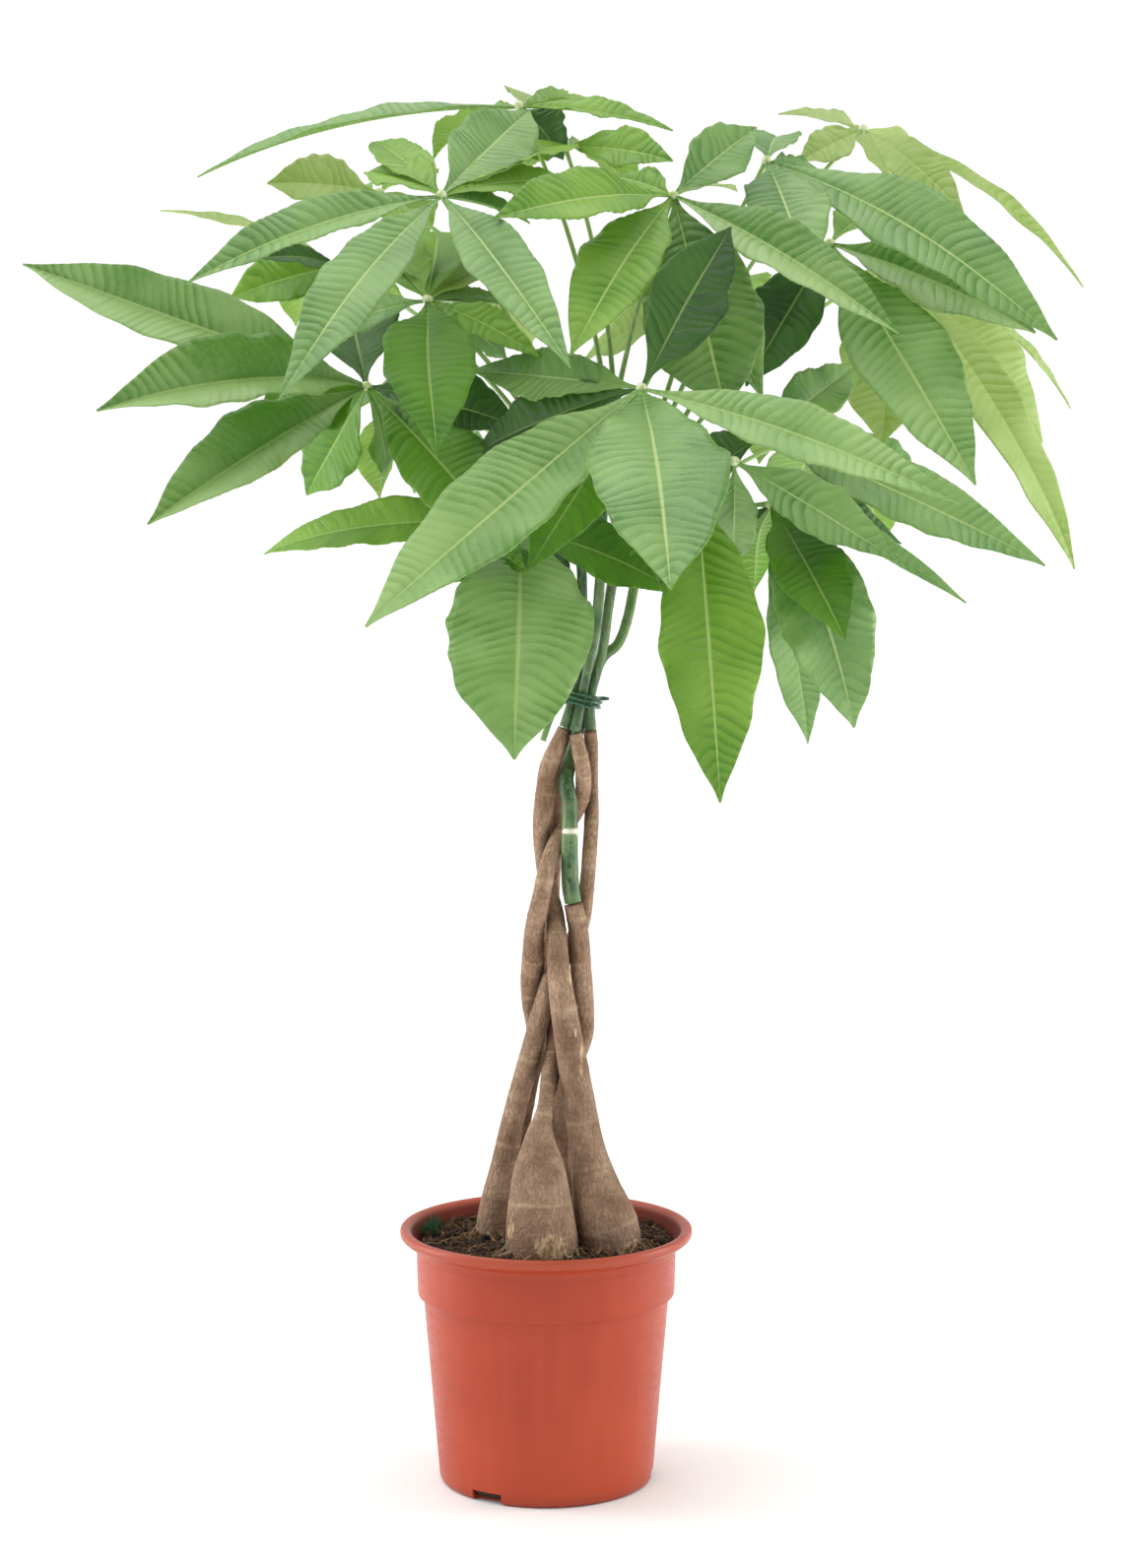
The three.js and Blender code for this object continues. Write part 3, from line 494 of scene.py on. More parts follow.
def marked(piece, red=0, green=0, blue=0):
    """Sets a part's marks, each one value or one for every point."""
    count = len(piece["points"])
    piece["marks"] = np.stack([np.broadcast_to(mark, count) for mark in (red, green, blue, 1)], axis=1)
    return piece


def grid_faces(rows, columns, closed, flip=False):
    """Quads over a grid of rows by columns, whose columns may close into a ring."""
    steps = np.arange(columns if closed else columns - 1)
    i, j = (grid.ravel() for grid in np.meshgrid(np.arange(rows - 1) * columns, steps, indexing="ij"))
    following = (j + 1) % columns
    quads = np.stack((i + j, i + following, i + columns + following, i + columns + j), axis=1)
    return quads[:, ::-1] if flip else quads


def skin_faces(rows, sides, flip):
    """Faces of a skin of rings, whose two poles are its last two points."""
    faces = grid_faces(rows, sides, closed=True, flip=flip).tolist()
    first, top = rows * sides, (rows - 1) * sides
    for k in range(sides):
        near, far = (k, (k + 1) % sides)[:: 1 if flip else -1]
        faces += [[first, near, far], [first + 1, top + far, top + near]]
    return faces


def sweep(points, radii, sides, slot=0, relief=None):
    """Round tube along points, with capped ends. relief adds to the radius of each ring point."""
    points = np.asarray(points, float)
    tangents = unit(np.gradient(points, axis=0))
    side = np.array((1.0, 0.0, 0.0))
    if abs(tangents[0] @ side) > 0.9:
        side = np.array((0.0, 1.0, 0.0))
    angles = around(sides)
    relief = np.zeros((len(points), sides)) if relief is None else relief
    rings = []
    for k, tangent in enumerate(tangents):
        side = unit(side - tangent * (side @ tangent))
        ring = np.outer(np.cos(angles), side) + np.outer(np.sin(angles), np.cross(tangent, side))
        rings.append(points[k] + ring * (radii[k] + relief[k])[:, None])
    body = np.vstack(rings)
    faces = grid_faces(len(points), sides, closed=True).tolist()
    faces.append(list(range(sides))[::-1])
    faces.append([len(body) - sides + k for k in range(sides)])
    along = np.repeat(np.linspace(0, 1, len(points)), sides)
    return part(body, faces, slot, np.stack((along, np.tile(angles / (2 * np.pi), len(points))), axis=1))


def lathe(outline, sides, flip=False):
    """Closed lathe solid from (radius, z) pairs, up from axis to axis, or down when flipped."""
    angles = around(sides)
    ring = np.stack((np.cos(angles), np.sin(angles)), axis=1)
    points = [np.column_stack((ring * radius, np.full(sides, z))) for radius, z in outline[1:-1]]
    points = np.vstack((*points, [(0, 0, outline[0][1])], [(0, 0, outline[-1][1])]))
    return part(points, skin_faces(len(outline) - 2, sides, flip))


def make_object(name, parts, materials):
    """One mesh object from parts, in metres, with its UVs, marks and materials."""
    points = np.vstack([piece["points"] for piece in parts]) * MM
    faces, slots, start = [], [], 0
    for piece in parts:
        rows = piece["faces"].tolist() if isinstance(piece["faces"], np.ndarray) else piece["faces"]
        faces += [[corner + start for corner in row] for row in rows]
        slots += [piece["slot"]] * len(rows)
        start += len(piece["points"])
    mesh = bpy.data.meshes.new(name)
    mesh.from_pydata(points.tolist(), [], faces)
    for material in materials:
        mesh.materials.append(material)
    mesh.polygons.foreach_set("material_index", slots)
    mesh.polygons.foreach_set("use_smooth", [True] * len(faces))
    corners = np.empty(len(mesh.loops), int)
    mesh.loops.foreach_get("vertex_index", corners)
    uv = np.vstack([piece["uv"] for piece in parts])
    mesh.uv_layers.new(name="Along").data.foreach_set("uv", uv[corners].ravel())
    marks = mesh.color_attributes.new(name="Marks", type="FLOAT_COLOR", domain="POINT")
    marks.data.foreach_set("color", np.vstack([piece["marks"] for piece in parts]).ravel())
    mesh.update()
    made = bpy.data.objects.new(name, mesh)
    bpy.context.scene.collection.objects.link(made)
    return made


def ride(made, slot, *nodes):
    """Lets a piece ride with the part and stand for CAD nodes; slot is not used."""
    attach(made, BODY)
    if nodes:
        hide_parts(*nodes)


def dress(name, parts, materials, slot, *nodes):
    """A piece made of parts, which rides with the part."""
    ride(make_object(name, list(parts), materials), slot, *nodes)


# ---- shader nodes
def rgb(red, green, blue):
    """A display colour, 0 to 255, as the linear colour that Blender takes."""
    values = [channel / 255 for channel in (red, green, blue)]
    return [v / 12.92 if v <= 0.04045 else ((v + 0.055) / 1.055) ** 2.4 for v in values] + [1]


class Value:
    """A node's output, which works like a number or, as coordinates, carries textures."""

    def __init__(self, shader, socket):
        self.shader = shader
        self.socket = socket

    def math(self, operation, other=0, clamp=False):
        return self.shader.add("Math", {0: self, 1: other}, operation=operation, use_clamp=clamp)

    def __add__(self, other):
        return self.math("ADD", other)

    def __sub__(self, other):
        return self.math("SUBTRACT", other)

    def __mul__(self, other):
        return self.math("MULTIPLY", other)

    def fade(self, low, high, start=0, end=1):
        """A smooth step from low to high."""
        inputs = {"Value": self, "From Min": low, "From Max": high, "To Min": start, "To Max": end}
        return self.shader.add("MapRange", inputs, interpolation_type="SMOOTHSTEP")

    def noise(self, scale, detail, roughness=0.55):
        inputs = {"Vector": self, "Scale": scale, "Detail": detail, "Roughness": roughness}
        return self.shader.add("TexNoise", inputs)

    def cells(self, scale, feature="F1"):
        return self.shader.add("TexVoronoi", {"Vector": self, "Scale": scale}, "Distance", feature=feature)

    def split(self, kind="SeparateXYZ"):
        """The three numbers of a vector or colour."""
        node = self.shader.add(kind, {0: self}).socket.node
        return [Value(self.shader, socket) for socket in node.outputs]


class Shader:
    """A material and short calls for the nodes it is made of."""

    def __init__(self, name):
        self.material = bpy.data.materials.new(name)
        self.material.use_nodes = True
        self.tree = self.material.node_tree
        self.tree.nodes.clear()
        self.output = self.tree.nodes.new("ShaderNodeOutputMaterial")

    def add(self, kind, inputs, output=0, **settings):
        """Adds a node with its inputs and settings, and gives one of its outputs."""
        node = self.tree.nodes.new("ShaderNode" + kind)
        for key, value in settings.items():
            setattr(node, key, value)
        for key, value in inputs.items():
            if isinstance(value, Value):
                self.tree.links.new(value.socket, node.inputs[key])
            else:
                node.inputs[key].default_value = value
        return Value(self, node.outputs[output])

    def mix(self, factor, *colours):
        """Two colours, each a value or (red, green, blue) from 0 to 255, blended by factor."""
        a, b = (colour if isinstance(colour, Value) else rgb(*colour) for colour in colours)
        return self.add("Mix", {0: factor, 6: a, 7: b}, 2, data_type="RGBA")

    def layers(self, colour, *coats):
        """A colour under coats of (factor, colour), the last on top."""
        for factor, coat in coats:
            colour = self.mix(factor, colour, coat)
        return colour

    def where(self, stretch=(1, 1, 1)):
        """Object coordinates, in metres, stretched by axis."""
        return self.add("Mapping", {"Vector": self.add("TexCoord", {}, "Object"), "Scale": stretch})

    def along(self):
        """x and y of the piece's own map, and 0."""
        return self.add("UVMap", {}, uv_map="Along").split()

    def marks(self):
        """Red, green and blue of the piece's marks."""
        return self.add("Attribute", {}, "Color", attribute_name="Marks").split("SeparateColor")

    def surface(self, colour, roughness, relief, more=()):
        """Principled surface. relief is a height, the depth it stands for in metres and its strength."""
        normal = self.add("Bump", dict(zip(("Height", "Distance", "Strength"), relief)))
        inputs = {"Base Color": colour, "Roughness": roughness, "Normal": normal, **dict(more)}
        return self.add("BsdfPrincipled", inputs)

    def lit_through(self, front, colour, share):
        """A surface that lets a share of the light through in one colour."""
        back = self.add("BsdfTranslucent", {"Color": rgb(*colour)})
        return self.add("MixShader", {0: share, 1: front, 2: back})

    def done(self, shader):
        self.tree.links.new(shader.socket, self.output.inputs[0])
        return self.material


# ---- materials
# Leaf greens painted in shade and lit, under and let through; ripple in mm; folding, which also weights the
# painted shade between halves; gloss and vein strength.
Tone = namedtuple("Tone", "shaded lit under through ripple fold gloss veins")
TONES = {
    "mid": Tone((66, 124, 28), (141, 185, 94), (124, 160, 80), (120, 190, 40), 0.8, 1, 1, 0.9),
    # bright: lighter greens, painted light for leaves that hang towards the viewer.
    "bright": Tone((92, 144, 46), (164, 202, 118), (130, 166, 84), (135, 200, 50), 0.9, 1, 0.9, 0.9),
    "rippled": Tone((56, 110, 24), (132, 174, 84), (116, 152, 72), (110, 180, 35), 1.3, 1.5, 0.7, 0.7),
    # folded: one half painted in shade, the other with a painted pale sheen.
    "folded": Tone((80, 134, 22), (162, 196, 118), (120, 156, 72), (120, 190, 30), 0.6, 2, 0.8, 0.6),
    "fresh": Tone((84, 138, 14), (146, 190, 66), (132, 172, 66), (150, 205, 40), 0.9, 1, 0.6, 0.8),
    # vivid: saturated dark green, painted light let through a leaf in shade.
    "vivid": Tone((58, 112, 6), (106, 160, 26), (88, 136, 34), (110, 185, 20), 0.8, 0.8, 0.5, 0.5),
    # deep: dark older leaves, darkened more as painted shade for leaves in the crown's shadow.
    "deep": Tone((24, 68, 10), (68, 116, 36), (92, 130, 56), (80, 150, 25), 1.1, 1.2, 0.5, 0.4),
    # lime: yellow-green, lightened as painted light let through the leaves from behind.
    "lime": Tone((136, 168, 70), (176, 198, 122), (166, 192, 98), (190, 215, 80), 0.15, 0.8, 0.4, 0.5),
}
RIB_GREEN = (190, 214, 128)
VEIN_GREEN = (156, 192, 104)


def vein_factors(shader):
    """How far a point is on midrib, side vein, margin and the far slope of a bulge, where shade is painted,
    and the painted shade or light of its half.
    """
    x, y, _ = shader.along()
    centred = y.math("FRACT") - 0.5
    # Painted shade or light on one half of the blade, set by the map's whole number.
    half = centred.fade(-0.03, 0.03, -1, 1) * (y.math("FLOOR") * (1 / (HALF_SHADES - 1)) - 0.5)
    off_rib = centred.math("ABSOLUTE") * (1 / BLADE_MAP)
    rib = off_rib.fade(0.014, 0.045, 1, 0)
    phase = (x * VEIN_SCALE).math("FRACT")
    vein = (phase - 0.5).math("ABSOLUTE").fade(0.02, 0.15, 1, 0)
    vein = vein * off_rib.fade(0.35, 0.98, 1, 0.25)
    # Far slope of each bulge between side veins, which gets painted shade.
    slope = (phase + 0.5).math("FRACT").fade(0.22, 0.98)
    return rib, vein, off_rib.fade(0.955, 0.995), slope, half


def leaf_upper(tone):
    """Smooth upper face of a blade: pale midrib and side veins over a mottled green, patched between its
    painted shaded and lit colours, with painted shade on the far slope of each bulge and on one half, softly
    glossy.
    """
    look = TONES[tone]
    shader = Shader(f"leaf_upper_{tone}")
    rib, vein, margin, slope, half = vein_factors(shader)
    spot = shader.where()
    speckle = spot.noise(420, 2)
    # Random patches of the lit green are a painted sheen.
    patches = spot.noise(16, 2).fade(0.3, 0.7)
    # Painted shade on the far slope of each bulge.
    bulge_shade = slope * spot.noise(26, 2).fade(0.35, 0.72, 0.1, 0.72)
    shade = patches * 0.6 + 0.4 - bulge_shade
    vein = vein * spot.noise(30, 2).fade(0.35, 0.7, 0.15, 1)
    green = shader.layers(
        look.shaded,
        # One half of the blade gets painted shade, the other painted light.
        (shade.math("ADD", half * (0.4 * look.fold), clamp=True), look.lit),
        (speckle.fade(0.35, 0.8, 0, 0.22), look.lit),
        (vein * (0.36 * look.veins), VEIN_GREEN),
        (margin * (0.5 * look.veins), VEIN_GREEN),
        (rib * min(1.2 * look.veins, 0.95), RIB_GREEN),
    )
    net = spot.cells(520, "DISTANCE_TO_EDGE").fade(0, 0.12)
    relief = net * 0.35 + speckle - vein * 0.8
    roughness = spot.noise(60, 2).fade(0.2, 0.8, 0.3, 0.46)
    front = shader.surface(green, roughness, (relief, 0.0004, 0.7), {"Specular IOR Level": look.gloss})
    return shader.done(shader.lit_through(front, look.through, 0.22))


def leaf_under(tone):
    """Paler, matter underside with raised veins and patches of painted light."""
    look = TONES[tone]
    shader = Shader(f"leaf_under_{tone}")
    rib, vein = vein_factors(shader)[:2]
    spot = shader.where()
    # Patches of the lit green are painted light.
    patches = spot.noise(22, 2).fade(0.3, 0.7)
    green = shader.layers(look.under, (patches, look.lit), (vein * 0.6, RIB_GREEN), (rib, RIB_GREEN))
    net = spot.cells(480, "DISTANCE_TO_EDGE").fade(0, 0.15, 1, 0)
    front = shader.surface(green, 0.6, (net * 0.4 + vein, 0.0005, 0.7))
    return shader.done(shader.lit_through(front, look.through, 0.2))


def stalk_green():
    """Leaf stalks: light green, duller at the foot, with fine lengthwise streaks."""
    shader = Shader("leaf_stalk")
    streaks = shader.where((1, 1, 0.2)).noise(500, 2)
    green = shader.layers(
        (86, 122, 52),
        (shader.along()[0].fade(0, 1), (128, 164, 78)),
        (streaks.fade(0.4, 0.8, 0, 0.5), (160, 182, 104)),
    )
    return shader.done(shader.surface(green, 0.42, (streaks, 0.0003, 0.5)))


def mottled(name, dark, light, rate, detail, edges, roughness, depth, more=()):
    """A plain surface mottled in two colours, with its relief's depth in metres and strength."""
    shader = Shader(name)
    mottle = shader.where().noise(rate, detail)
    colour = shader.mix(mottle.fade(*edges), dark, light)
    return shader.done(shader.surface(colour, roughness, (mottle, *depth), more))


def bark():
    """Grey-brown bark, pinker higher up, with painted shade between stems, cracks, rings and peeled patches.
    """
    shader = Shader("bark")
    hollow_shade, peeled, scar = shader.marks()
    spot, long_spot = shader.where(), shader.where((1, 1, 0.5))
    height = spot.split()[2]
    broad = spot.noise(38, 4).fade(0.3, 0.7)
    blotch = spot.noise(110, 3)
    grain = long_spot.noise(620, 4, 0.6)
    cracks = long_spot.cells(300, "DISTANCE_TO_EDGE").fade(0, 0.2, 1, 0)
    rings = shader.where((0.05, 0.05, 1)).noise(380, 2)
    flecks = spot.noise(900, 1).fade(0.66, 0.76)
    damp = height.fade((SOIL_TOP + 1) * MM, (SOIL_TOP + 33) * MM, 0.5, 0)
    streak = shader.where((1, 1, 0.45)).noise(300, 4, 0.7)
    torn = peeled + (streak + (blotch - 1)) * 1.6
    torn = torn.fade(0.36, 0.56) * peeled.fade(0.1, 0.4, 0, 0.8)
    brown = shader.layers(
        shader.mix(broad, (136, 107, 84), (186, 155, 130)),
        (height.fade(0.23, 0.46), shader.mix(broad, (148, 114, 90), (202, 166, 140))),
        (blotch.fade(0.35, 0.6, 0.3, 0), (108, 84, 62)),
        (grain.fade(0.3, 0.7, 0.4, 0), (90, 66, 48)),
        (cracks * 0.15, (80, 60, 44)),
        (rings.fade(0.6, 0.75, 0, 0.25), (196, 172, 146)),
        (flecks * 0.5, (206, 188, 160)),
        (scar * 0.6, (200, 176, 142)),
        # Painted shade where stems lie against each other.
        (hollow_shade * 0.9, (66, 46, 34)),
        (damp * blotch.fade(0.3, 0.7), (84, 62, 44)),
        (torn, shader.mix(streak.fade(0.35, 0.65), (150, 116, 82), (220, 194, 154))),
    )
    relief = grain - cracks * 0.5 + (rings + blotch) * 0.5
    roughness = grain.fade(0.2, 0.8, 0.95, 0.72)
    return shader.done(shader.surface(brown, roughness, (relief, 0.001, 0.75), {"Specular IOR Level": 0.3}))


def shoot_skin():
    """Green shoots: smooth skin with pale streaks, a pale band, dark dots and brown cut ends."""
    shader = Shader("shoot_skin")
    band, cut, dark = shader.marks()
    spot = shader.where()
    streaks = shader.where((1, 1, 0.12)).noise(420, 4)
    green = shader.layers(
        (44, 78, 46),
        (spot.noise(60, 3).fade(0.3, 0.7), (92, 124, 72)),
        (shader.along()[0].fade(0.55, 1, 0, 0.8), (112, 152, 72)),
        (streaks.fade(0.5, 0.72, 0, 0.6), (140, 158, 118)),
        (spot.noise(700, 1).fade(0.66, 0.76, 0, 0.6), (170, 178, 150)),
        (cut, (112, 84, 60)),
        (dark, (26, 22, 18)),
        (band, (226, 224, 208)),
    )
    roughness = streaks.fade(0.3, 0.8, 0.4, 0.6)
    return shader.done(shader.surface(green, roughness, (streaks, 0.0006, 0.6)))


def inner_wall_shade_mask(shader, height):
    """1 on the inside of the pot's collar and flare, told by the distance from its axis and the height;
    there shade is painted.
    """
    from_axis = shader.add("VectorMath", {0: shader.where((1, 1, 0))}, "Value", operation="LENGTH")
    wall = from_axis.fade((COLLAR_TOP_RADIUS - 0.1) * MM, (COLLAR_TOP_RADIUS - 0.4) * MM)
    wall = wall * height.fade((POT_HEIGHT - 17) * MM, (POT_HEIGHT - 16) * MM)
    flare = from_axis.fade((RIM_RADIUS - 5) * MM, (COLLAR_TOP_RADIUS + 1.5) * MM)
    flare = flare * height.fade((POT_HEIGHT - 7.9) * MM, (POT_HEIGHT - 7.4) * MM)
    return wall.math("MAXIMUM", flare)


def pot_plastic():
    """Terracotta-coloured plastic, worn and paler at the rim with a painted reflection, painted shade
    inside, faint scuffs and dust.
    """
    shader = Shader("pot_plastic")
    spot = shader.where()
    height = spot.split()[2]
    broad = spot.noise(9, 3)
    grain = spot.noise(2600, 2)
    flow = shader.where((1, 1, 0.05)).noise(90, 3)
    scuffs = shader.where((1, 1, 6)).noise(60, 6, 0.8)
    rim_wear_and_sheen = height.fade((POT_HEIGHT - 10) * MM, (POT_HEIGHT - 3) * MM)
    at_foot = height.fade(FOOT_ROUND * 3 * MM, 0)
    # Where the inside of the pot gets painted shade.
    inside = inner_wall_shade_mask(shader, height)
    red = shader.layers(
        (164, 54, 22),
        (broad.fade(0.3, 0.7), (178, 64, 30)),
        (flow.fade(0.45, 0.75, 0, 0.2), (190, 80, 50)),
        # Paler at the rim: wear and a painted reflection.
        (rim_wear_and_sheen * broad.fade(0.2, 0.7, 0.35, 0.85), (168, 76, 52)),
        (scuffs.fade(0.66, 0.74, 0, 0.3), (206, 130, 104)),
        (at_foot * broad.fade(0.3, 0.8, 0.1, 0.5), (128, 56, 38)),
        # Painted shade on the inside of the collar and flare.
        (inside * 0.9, (92, 26, 12)),
    )
    roughness = scuffs.fade(0.3, 0.75, 0.3, 0.5).math("MAXIMUM", inside * 0.85)
    relief = (grain * 0.3 + flow * 0.5, 0.0002, 0.5)
    return shader.done(shader.surface(red, roughness, relief, {"Specular IOR Level": 0.4}))


def crumbly(name, dark, light, rate, roughness=0.95):
    """Earthy matter in two colours with a rough, broken surface."""
    shader = Shader(name)
    spot = shader.where()
    clumps = spot.noise(rate, 5, 0.7)
    tint = shader.marks()[0] * 0.6 + clumps * 0.6
    brown = shader.mix(tint.fade(0.25, 0.85), dark, light)
    relief = clumps + spot.cells(rate * 3) * 0.6
    return shader.done(shader.surface(brown, roughness, (relief, 0.0016, 0.9)))


def floor_paint():
    """Plain pale studio floor."""
    shader = Shader("floor_paint")
    tint = shader.where().noise(3, 2).fade(0.3, 0.7)
    paint = shader.mix(tint, (240, 240, 239), (244, 244, 243))
    inputs = {"Base Color": paint, "Roughness": 0.85, "Specular IOR Level": 0.2}
    return shader.done(shader.add("BsdfPrincipled", inputs))


# ---- palmate leaves
def blade_sections(hub, tip, width, facing, arch):
    """Shares of its length, centre line, side and normal directions, half-widths and length of a leaflet."""
    along = unit(tip - hub)
    root = hub + along * HUB_OVERLAP
    span = tip - root
    length = np.linalg.norm(span)
    up = np.array((0.0, -facing, 1 - abs(facing)))
    up = unit(up - along * (up @ along))
    t = np.linspace(0, 1, STATIONS)
    centre, tangent = bezier(root, root + span / 2 + up * 2 * arch * length, tip, t)
    side = unit(np.cross(tangent, up))
    normal = unit(np.cross(side, tangent))
    outline = next(shape for least, shape in OUTLINES if width >= least)
    half = np.maximum(width / 2 * through(outline, t), LEAST_HALF_WIDTH)
    return t, centre, side, normal, half, length


def column_places(half):
    """Places across the blade, -1 to 1, that keep the midrib the same width all along."""
    rib = np.minimum(RIB_HALF_WIDTH / half, 0.3)[:, None]
    outer = (np.arange(HALF_COLUMNS) / (HALF_COLUMNS - 1)) ** 0.9
    right = rib + (1 - rib) * outer[None]
    return np.hstack((-right[:, ::-1], np.zeros((len(half), 1)), right))


def edge_wave(t, edge, rates, rng):
    """A wave along the blade, with its own rate and start for each margin."""
    rate, start = rng.uniform(*rates, 2), rng.uniform(0, CIRCLE, 2)
    return np.sin(2 * np.pi * rate[edge] * t[:, None] + start[edge])


def leaflet(hub, row, index, rng):
    """Points, upper faces, under faces and map of a leaflet, with ripples, folds and a waved margin."""
    *tip, width, facing, arch, tone = row
    tip, facing, arch = place(tip), facing / 100, arch / 100
    t, centre, side, normal, half, length = blade_sections(hub, tip, width, facing, arch)
    w = column_places(half)
    off, edge, height = np.abs(w), np.where(w < 0, 0, 1), half[:, None]
    phase = (t[:, None] - VEIN_SLANT * off**1.3 * height / length) * round(length / VEIN_SPACING)
    phase = phase + VEIN_DRIFT * edge_wave(t, edge, VEIN_DRIFT_TURNS, rng) * np.minimum(3 * off, 1)
    ripple = TONES[tone].ripple * np.minimum(height / FULL_RIPPLE, 1) * min(2 * facing, 1)
    ripple = ripple * np.minimum(off * 3.5, 1) * (np.abs(np.cos(np.pi * phase)) ** 0.8 - 0.55)
    swing = WAVE * height * np.sin(2 * np.pi * WAVE_TURNS * t + index * WAVE_SHIFT)[:, None]
    ruffle = RUFFLE * height * off**3 * edge_wave(t, edge, RUFFLE_TURNS, rng)
    groove = -GROOVE * np.exp(-((off * height / GROOVE_WIDTH) ** 2))
    fold = FOLD * TONES[tone].fold * rng.uniform(*FOLD_RANGE)
    rise = height * fold * (1.5 * off - 0.5 * off**2) - swing * w * off + ripple + ruffle + groove
    bow = (rng.uniform(-BOW, BOW) * length * np.sin(np.pi * t) ** 2)[:, None]
    margin = sum(tall * edge_wave(t, edge, rates, rng) for rates, tall in MARGIN_WAVES)
    across = height * w * (1 + margin) + bow
    middle = centre[:, None] + side[:, None] * across[..., None] + normal[:, None] * rise[..., None]
    drop = RIB_DROP * np.exp(-((off * height) ** 2)) * (1 - 0.6 * t[:, None])
    top = (middle + normal[:, None] * BLADE / 2).reshape(-1, 3)
    under = (middle - normal[:, None] * (BLADE / 2 + drop)[..., None]).reshape(-1, 3)
    # The map's whole number sets which half is painted in shade and which in light; folded leaflets get
    # painted shade on their upper half and a painted sheen on the lower one.
    shade = rng.integers(0, HALF_SHADES)
    if tone == "folded":
        shade = 0 if tip[0] < hub[0] else HALF_SHADES - 1
    uv = np.stack((phase / VEIN_SCALE, shade + 0.5 + BLADE_MAP * w), axis=-1).reshape(-1, 2)
    columns = w.shape[1]
    upper = grid_faces(STATIONS, columns, closed=False)
    under_faces = grid_faces(STATIONS, columns, closed=False, flip=True) + len(top)
    return np.vstack((top, under)), upper, np.vstack((under_faces, blade_rim(columns))), np.vstack((uv, uv))


def blade_rim(columns):
    """Faces that join the upper and under grids round the blade's margin."""
    left, ends = np.arange(STATIONS) * columns, np.arange(columns)
    right, tips = left + columns - 1, ends + (STATIONS - 1) * columns
    across = STATIONS * columns
    quads = [
        (right[:-1], right[:-1] + across, right[1:] + across, right[1:]),
        (left[:-1], left[1:], left[1:] + across, left[:-1] + across),
        (ends[:-1], ends[:-1] + across, ends[1:] + across, ends[1:]),
        (tips[:-1], tips[1:], tips[1:] + across, tips[:-1] + across),
    ]
    return np.vstack([np.stack(corners, axis=1) for corners in quads])


def stalk_part(curve, frond):
    """Leaf stalk from its shoot to the hub, swollen at both ends."""
    start, heading = at_share(curve, frond.along)
    hub = place(frond.hub)
    reach = np.linalg.norm(hub - start)
    bend = start + heading * reach * PETIOLE_RISE
    bend = bend + (hub - bend) * PETIOLE_LEAN
    t = np.linspace(0, 1, 36)
    radii = PETIOLE_FOOT_RADIUS + (PETIOLE_TOP_RADIUS - PETIOLE_FOOT_RADIUS) * t
    radii = radii + 0.9 * np.exp(-((t * reach / 7) ** 2)) + 0.8 * np.exp(-(((1 - t) * reach / 5) ** 2))
    return sweep(bezier(start, bend, hub, t)[0], radii, 12)


def hub_part(hub, rng):
    """Knobbly ball where the leaflets meet."""
    rows = np.linspace(-np.pi / 2, np.pi / 2, 9)
    centre_line = [(0, 0, HUB_RADIUS * 0.9 * math.sin(angle)) for angle in rows]
    radii = [max(HUB_RADIUS * math.cos(angle), 0.05) for angle in rows]
    relief = ripples(4, (2, 6), (0.2, 0.6), np.linspace(0, CIRCLE, 14, endpoint=False), rows * 3, rng)
    knob = sweep(centre_line, radii, 14, 1, relief * 0.25)
    knob["points"] = knob["points"] + hub
    return knob


def palmate_leaf(name, frond, curves, materials):
    """One leaf with its stalk, hub and leaflets, standing for its CAD node."""
    rng = dice(ord(name[-1]))
    hub = place(frond.hub)
    parts = [stalk_part(curves[frond.shoot], frond), hub_part(hub, rng)]
    tones = sorted({row[-1] for row in frond.leaflets})
    for index, row in enumerate(frond.leaflets):
        slot = 2 + 2 * tones.index(row[-1])
        shell, upper, under, uv = leaflet(hub, row, index, rng)
        # The under faces are a part with no points of its own, which counts back into the shell's points.
        parts += [part(shell, upper, slot, uv), part(shell[:0], under - len(shell), slot + 1)]
    dressed = [materials["stalk"], materials["hub"]]
    for tone in tones:
        dressed += [materials["upper"][tone], materials["under"][tone]]
    dress(f"palmate_{name}", parts, dressed, "leaf", name)


# ---- stems, shoots and tie
def spots(points, table, soft=False):
    """How strongly points lie in any of the (u, v, half width, half height) ellipses of the photograph."""
    u, v = seen(points)
    strength = np.zeros(len(points))
    for across, down, half_u, half_v in table:
        reach = ((u - across) / half_u) ** 2 + ((v - down) / half_v) ** 2
        strength = np.maximum(strength, np.exp(-reach) if soft else np.clip(1.3 - reach, 0, 1))
    return strength


def facing_viewer(points, centres):
    """1 on the side of a limb that faces the photograph's viewer, 0 on the other."""
    centres = np.repeat(centres, len(points) // len(centres), axis=0)
    return np.clip((centres[:, 1] - points[:, 1]) * 2, 0, 1)


def hollow_shade_mask(points, others):
    """1 where points lie against another stem, fading to 0 at HOLLOW_REACH mm from its bark; it sets where
    shade is painted on the bark.
    """
    nearest = np.full(len(points), np.inf)
    for curve in others:
        away = np.linalg.norm(points[:, None] - curve[None, :, :3], axis=2) - curve[None, :, 3]
        nearest = np.minimum(nearest, away.min(axis=1))
    return np.clip(1 - nearest / HOLLOW_REACH, 0, 1)


